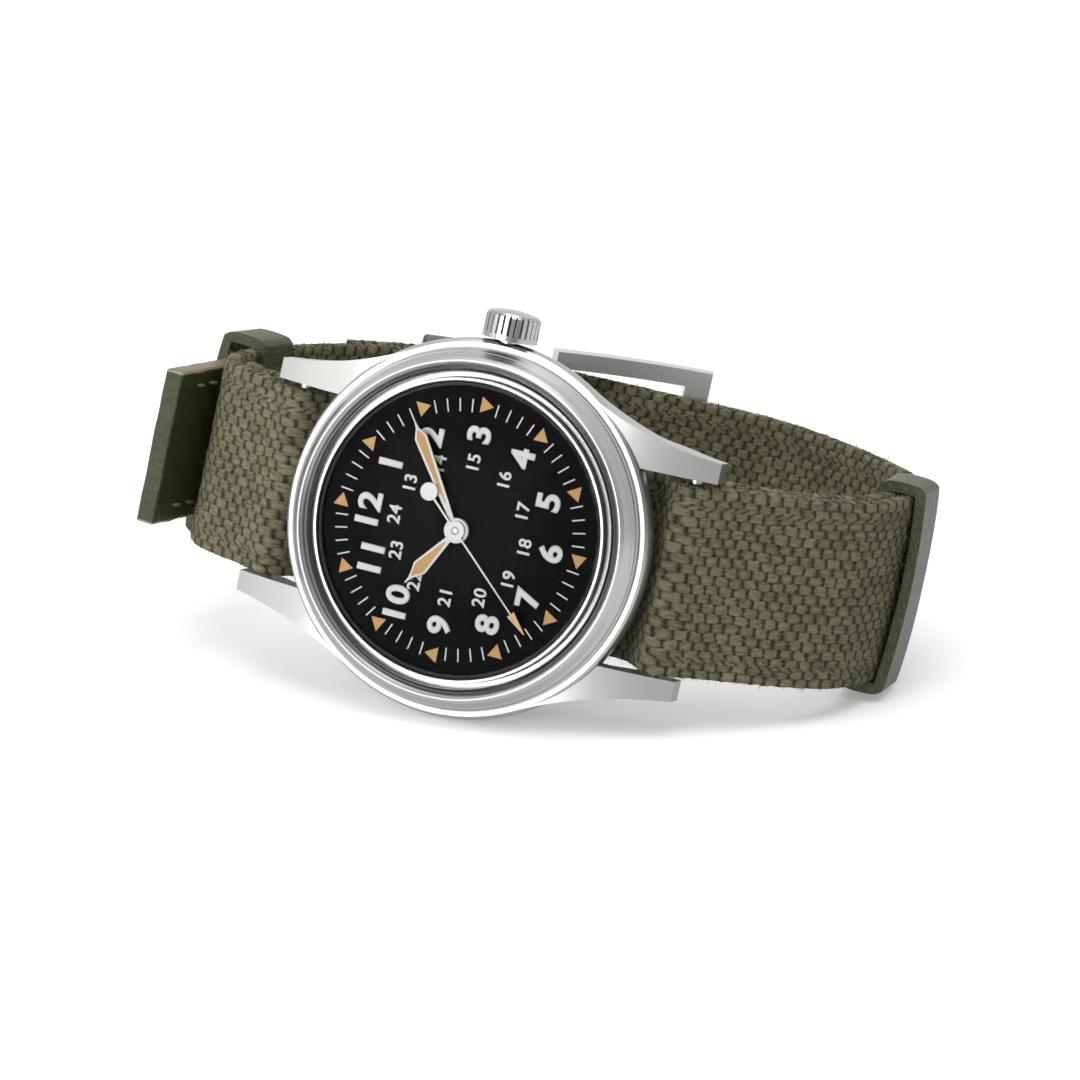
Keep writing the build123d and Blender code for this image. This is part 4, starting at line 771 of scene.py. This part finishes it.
# Keepers: bands of thick green leather, skived and closed round two plies, their
# edges rounded by hand and the grain showing where they bend.
leather, leather_shader = finish_of("green_leather", linear(46, 52, 33), 0.36)
leather_place = place_on(leather)
pores = node(leather, "ShaderNodeTexVoronoi", [("Vector", leather_place), ("Scale", 2600.0)],
             feature="DISTANCE_TO_EDGE").outputs["Distance"]
creases = grain(leather, leather_place, 1500, 5, 0.65)
leather_height = sums(leather, "MULTIPLY_ADD", creases, 0.6, sums(leather, "MINIMUM", pores, 0.25))
relief(leather, leather_shader, leather_height, 0.00022, 0.8)
leather_shader.inputs["Specular IOR Level"].default_value = 0.36
join_to(leather, mixed(leather, creases, linear(32, 39, 20), linear(66, 74, 44)),
        leather_shader.inputs["Base Color"])
join_to(leather, ranged(leather, creases, 0.24, 0.46), leather_shader.inputs["Roughness"])


def keeper_band(name, place, angle, plies, cad_node):
    """A closed leather band: its middle, its slope, and the plies' thickness inside it."""
    leather_t = 1.1
    half_width, half_depth, corner = 10.85, plies / 2 + leather_t, 2.1
    bpy.ops.mesh.primitive_cylinder_add(vertices=56, radius=1, depth=5, end_fill_type="NOTHING",
                                        rotation=(0, math.radians(90), 0))
    band = bpy.context.object
    bpy.ops.object.transform_apply(location=True, rotation=True, scale=True)
    bpy.ops.object.mode_set(mode="EDIT")
    bpy.ops.mesh.subdivide(number_cuts=1)
    bpy.ops.object.mode_set(mode="OBJECT")
    for vertex in band.data.vertices:
        deep, wide = vertex.co.y, vertex.co.z
        reach = math.hypot(deep, wide)
        deep, wide = deep / reach, wide / reach
        flat = max(-1, min(1, 1.45 * wide))
        stand = max(-1, min(1, 3.2 * deep))
        vertex.co.z = (half_width - corner) * flat + corner * wide
        vertex.co.y = (half_depth - corner) * stand + corner * deep
        vertex.co.x *= 1 + 0.04 * math.sin(5 * wide + 2 * deep)
    solid = band.modifiers.new("thick", "SOLIDIFY")
    solid.thickness, solid.offset, solid.use_even_offset = leather_t, -1, True
    soft = band.modifiers.new("soft", "BEVEL")
    soft.width, soft.segments, soft.limit_method = 0.5, 4, "ANGLE"
    fine = band.modifiers.new("fine", "SUBSURF")
    fine.levels = fine.render_levels = 1
    apply_all(band)
    band.name = band.data.name = name
    band.location = (place[0], place[1], 0)
    band.rotation_euler = (0, 0, math.radians(angle))
    settle(band, into_loop)
    bpy.ops.object.shade_smooth()
    paint(leather, band)
    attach(band, "watch")
    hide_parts(cad_node)


clear()
keeper_band("leather_keeper_6", (-37.75, -25.211), -90.59, 3.9, "keeper_6")
keeper_band("leather_keeper_middle", (17.986, -39.27), 29.69, 3.7, "keeper_middle")
keeper_band("leather_keeper_end", (32.068, -19.534), 75.73, 4.3, "keeper_end")

# Leather tail: two skins of the same leather glued back to back and sewn along the
# edges, over the end of the canvas; the core shows brown along the cut sides.
tail_points = (beside([seam_end] + buckle_end[3:7], leather_gap)[:4]
               + on_loop((-0.862, 0.240), (-0.880, 0.130)))
clear()
tail_path = path_curve("tail_path", tail_points)
tail_length = curve_length(tail_path)
tail_w, tail_t = 16, 2.0
tail = blank(tail_length, tail_w, tail_t, 0.5, 0.5, 0.22)
for vertex in tail.data.vertices:
    vertex.co.z += 0.12 * noise.noise(Vector((0.35 * vertex.co.x, 0.35 * vertex.co.y, 5)))
    vertex.co.y += 0.1 * noise.noise(Vector((0.5 * vertex.co.x, vertex.co.z, 9)))
wrap(tail, tail_path, "leather_tail")
tail_leather = leather.copy()
tail_leather.name = "tail_leather"
tail_shader = tail_leather.node_tree.nodes["Principled BSDF"]
skin_tone = tail_shader.inputs["Base Color"].links[0].from_socket
tail_xy = node(tail_leather, "ShaderNodeSeparateXYZ", [(0, place_on(tail_leather, "UV"))])
off_middle = sums(tail_leather, "ABSOLUTE", tail_xy.outputs[1])
on_core = sums(tail_leather, "GREATER_THAN", off_middle, tail_w / 2 - 0.07)
on_rim = ranged(tail_leather, off_middle, 0.0, 1.0, tail_w / 2 - 0.34, tail_w / 2 - 0.14)
core_grain = grain(tail_leather, place_on(tail_leather), 2600, 5, 0.75)
core_tone = mixed(tail_leather, core_grain, linear(58, 46, 36), linear(150, 130, 108))
rim_tone = mixed(tail_leather, on_rim, skin_tone, linear(150, 150, 112))
join_to(tail_leather, mixed(tail_leather, on_core, rim_tone, core_tone),
        tail_shader.inputs["Base Color"])
paint(tail_leather, tail)
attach(tail, "watch")
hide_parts("tail_tip")

# Tail stitches: waxed olive thread, locked through both skins a little way in from
# each cut side.
stitch_l, stitch_pitch, stitch_inset, thread_r = 2.2, 2.5, 1.7, 0.19
clear()
stitches = []
for number in range(int((tail_length - 2) / stitch_pitch)):
    for side in (-1, 1):
        for face in (-1, 1):
            bpy.ops.mesh.primitive_cylinder_add(vertices=8, radius=thread_r, depth=stitch_l,
                                                rotation=(0, math.radians(90), 0))
            thread = bpy.context.object
            bpy.ops.object.transform_apply(location=True, rotation=True, scale=True)
            bpy.ops.object.mode_set(mode="EDIT")
            bpy.ops.mesh.subdivide(number_cuts=2)
            bpy.ops.object.mode_set(mode="OBJECT")
            for vertex in thread.data.vertices:
                share = 2 * vertex.co.x / stitch_l
                vertex.co.y *= 1 - 0.3 * share ** 2
                vertex.co.z = face * (vertex.co.z + tail_t / 2 + 0.06 - 0.3 * share ** 4)
                vertex.co.x += 1.6 + stitch_pitch * number
                vertex.co.y += side * (tail_w / 2 - stitch_inset) + 0.12 * share
            stitches.append(thread)
tail_stitches = join_pieces(stitches, "tail_stitches")
bpy.ops.object.mode_set(mode="EDIT")
bpy.ops.mesh.select_all(action="SELECT")
bpy.ops.mesh.normals_make_consistent(inside=False)
bpy.ops.object.mode_set(mode="OBJECT")
wrap(tail_stitches, tail_path, "tail_stitches")
thread_paint, thread_shader = finish_of("olive_thread", linear(112, 112, 74), 0.7)
thread_place = place_on(thread_paint)
thread_tone = mixed(thread_paint, grain(thread_paint, thread_place, 6000, 4, 0.7),
                    linear(48, 52, 30), linear(138, 134, 96))
join_to(thread_paint, thread_tone, thread_shader.inputs["Base Color"])
relief(thread_paint, thread_shader, grain(thread_paint, thread_place, 9000), 0.00005, 0.8)
paint(thread_paint, tail_stitches)
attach(tail_stitches, "watch")

# Buckle: a bowed frame bent from steel, brushed and rounded, that turns on a bar in
# the end fold of the strap, with its tongue lying on the far side of the frame.
paint(steel("buckle_steel", (202, 202, 200), 0.3), "buckle_frame", "buckle_bar", "buckle_tongue")
for path in (long_path, second_path, tail_path):
    bpy.data.objects.remove(path)

# Stage: a plain pale floor, soft studio light, and the camera where the photograph
# was taken from.
floor_material, floor_shader = finish_of("pale_floor", (0.86, 0.86, 0.86, 1), 0.9)
floor_tone = mixed(floor_material, grain(floor_material, place_on(floor_material), 3),
                   (0.85, 0.85, 0.85, 1), (0.87, 0.87, 0.87, 1))
join_to(floor_material, floor_tone, floor_shader.inputs["Base Color"])
rays = node(floor_material, "ShaderNodeLightPath")
seen = sums(floor_material, "MAXIMUM", rays.outputs["Is Camera Ray"],
            rays.outputs["Is Glossy Ray"])
seen = sums(floor_material, "MAXIMUM", seen, rays.outputs["Is Transmission Ray"])
floor_shader.inputs["Emission Color"].default_value = (1, 1, 1, 1)
join_to(floor_material, sums(floor_material, "MULTIPLY", seen, 0.22),
        floor_shader.inputs["Emission Strength"])
clear()
bpy.ops.mesh.primitive_grid_add(x_subdivisions=8, y_subdivisions=8, size=6)
floor = bpy.context.object
floor.name = "floor"
floor.data.materials.append(floor_material)

world = bpy.data.worlds.new("studio")
bpy.context.scene.world = world
world.use_nodes = True
sky = world.node_tree.nodes["Background"]
sky_way = place_on(world, "Generated")
toward_box = vectors(world, "DOT_PRODUCT", sky_way, Vector((-0.55, -0.45, 0.7)).normalized())
box_glow = ranged(world, toward_box, 0.3, 1.0, -0.1, 0.75, interpolation_type="SMOOTHSTEP")
behind = node(world, "ShaderNodeSeparateXYZ", [(0, sky_way)]).outputs["Y"]
paper_glow = ranged(world, behind, 0.0, 1.0, -0.1, 0.3, interpolation_type="SMOOTHSTEP")
sky_rays = node(world, "ShaderNodeLightPath")
sky_level = sums(world, "MAXIMUM", sky_rays.outputs["Is Camera Ray"],
                 sums(world, "MAXIMUM", box_glow, paper_glow))
for_cloth = sums(world, "MULTIPLY_ADD", sky_rays.outputs["Is Diffuse Ray"], -0.35, 1.0)
join_to(world, sums(world, "MULTIPLY", sky_level, for_cloth), sky.inputs["Strength"])
sky.inputs["Color"].default_value = (1, 1, 1, 1)


def lamp(name, place, aim, width, height, power):
    """A soft box that faces a point."""
    light = bpy.data.lights.new(name, "AREA")
    light.shape, light.size, light.size_y, light.energy = "RECTANGLE", width, height, power
    holder = bpy.data.objects.new(name, light)
    bpy.context.collection.objects.link(holder)
    holder.location = place
    holder.rotation_euler = (Vector(aim) - Vector(place)).to_track_quat("-Z", "Y").to_euler()


lamp("top_box", (0.05, -0.05, 0.7), (0, 0, 0.02), 0.6, 0.6, 2.8)
lamp("left_box", (-0.6, -0.4, 0.4), (0, 0, 0.02), 0.4, 0.5, 1.6)
front_place = dial_up @ Vector((-60, 190, 600))
lamp("front_box", front_place, (0, -0.02, 0.02), 0.34, 0.3, 1.7)

camera_data = bpy.data.cameras.new("camera")
camera_data.lens, camera_data.sensor_width = 155.96, 36
camera_data.clip_start, camera_data.clip_end = 0.01, 20
camera = bpy.data.objects.new("camera", camera_data)
bpy.context.collection.objects.link(camera)
camera_right = Vector((0.208, -0.929, -0.308)).normalized()
camera_back = Vector((0.121, -0.288, 0.950)).normalized()
camera_up = camera_back.cross(camera_right).normalized()
camera_turn = Matrix((camera_right, camera_up, camera_back)).transposed().to_4x4()
seat = dial_up @ Matrix.Translation((56.6, -140.6, 436.3)) @ camera_turn
camera.matrix_world = Matrix.LocRotScale(seat.translation, seat.to_quaternion(), None)
bpy.context.scene.camera = camera
bpy.context.scene.view_settings.view_transform = "Standard"
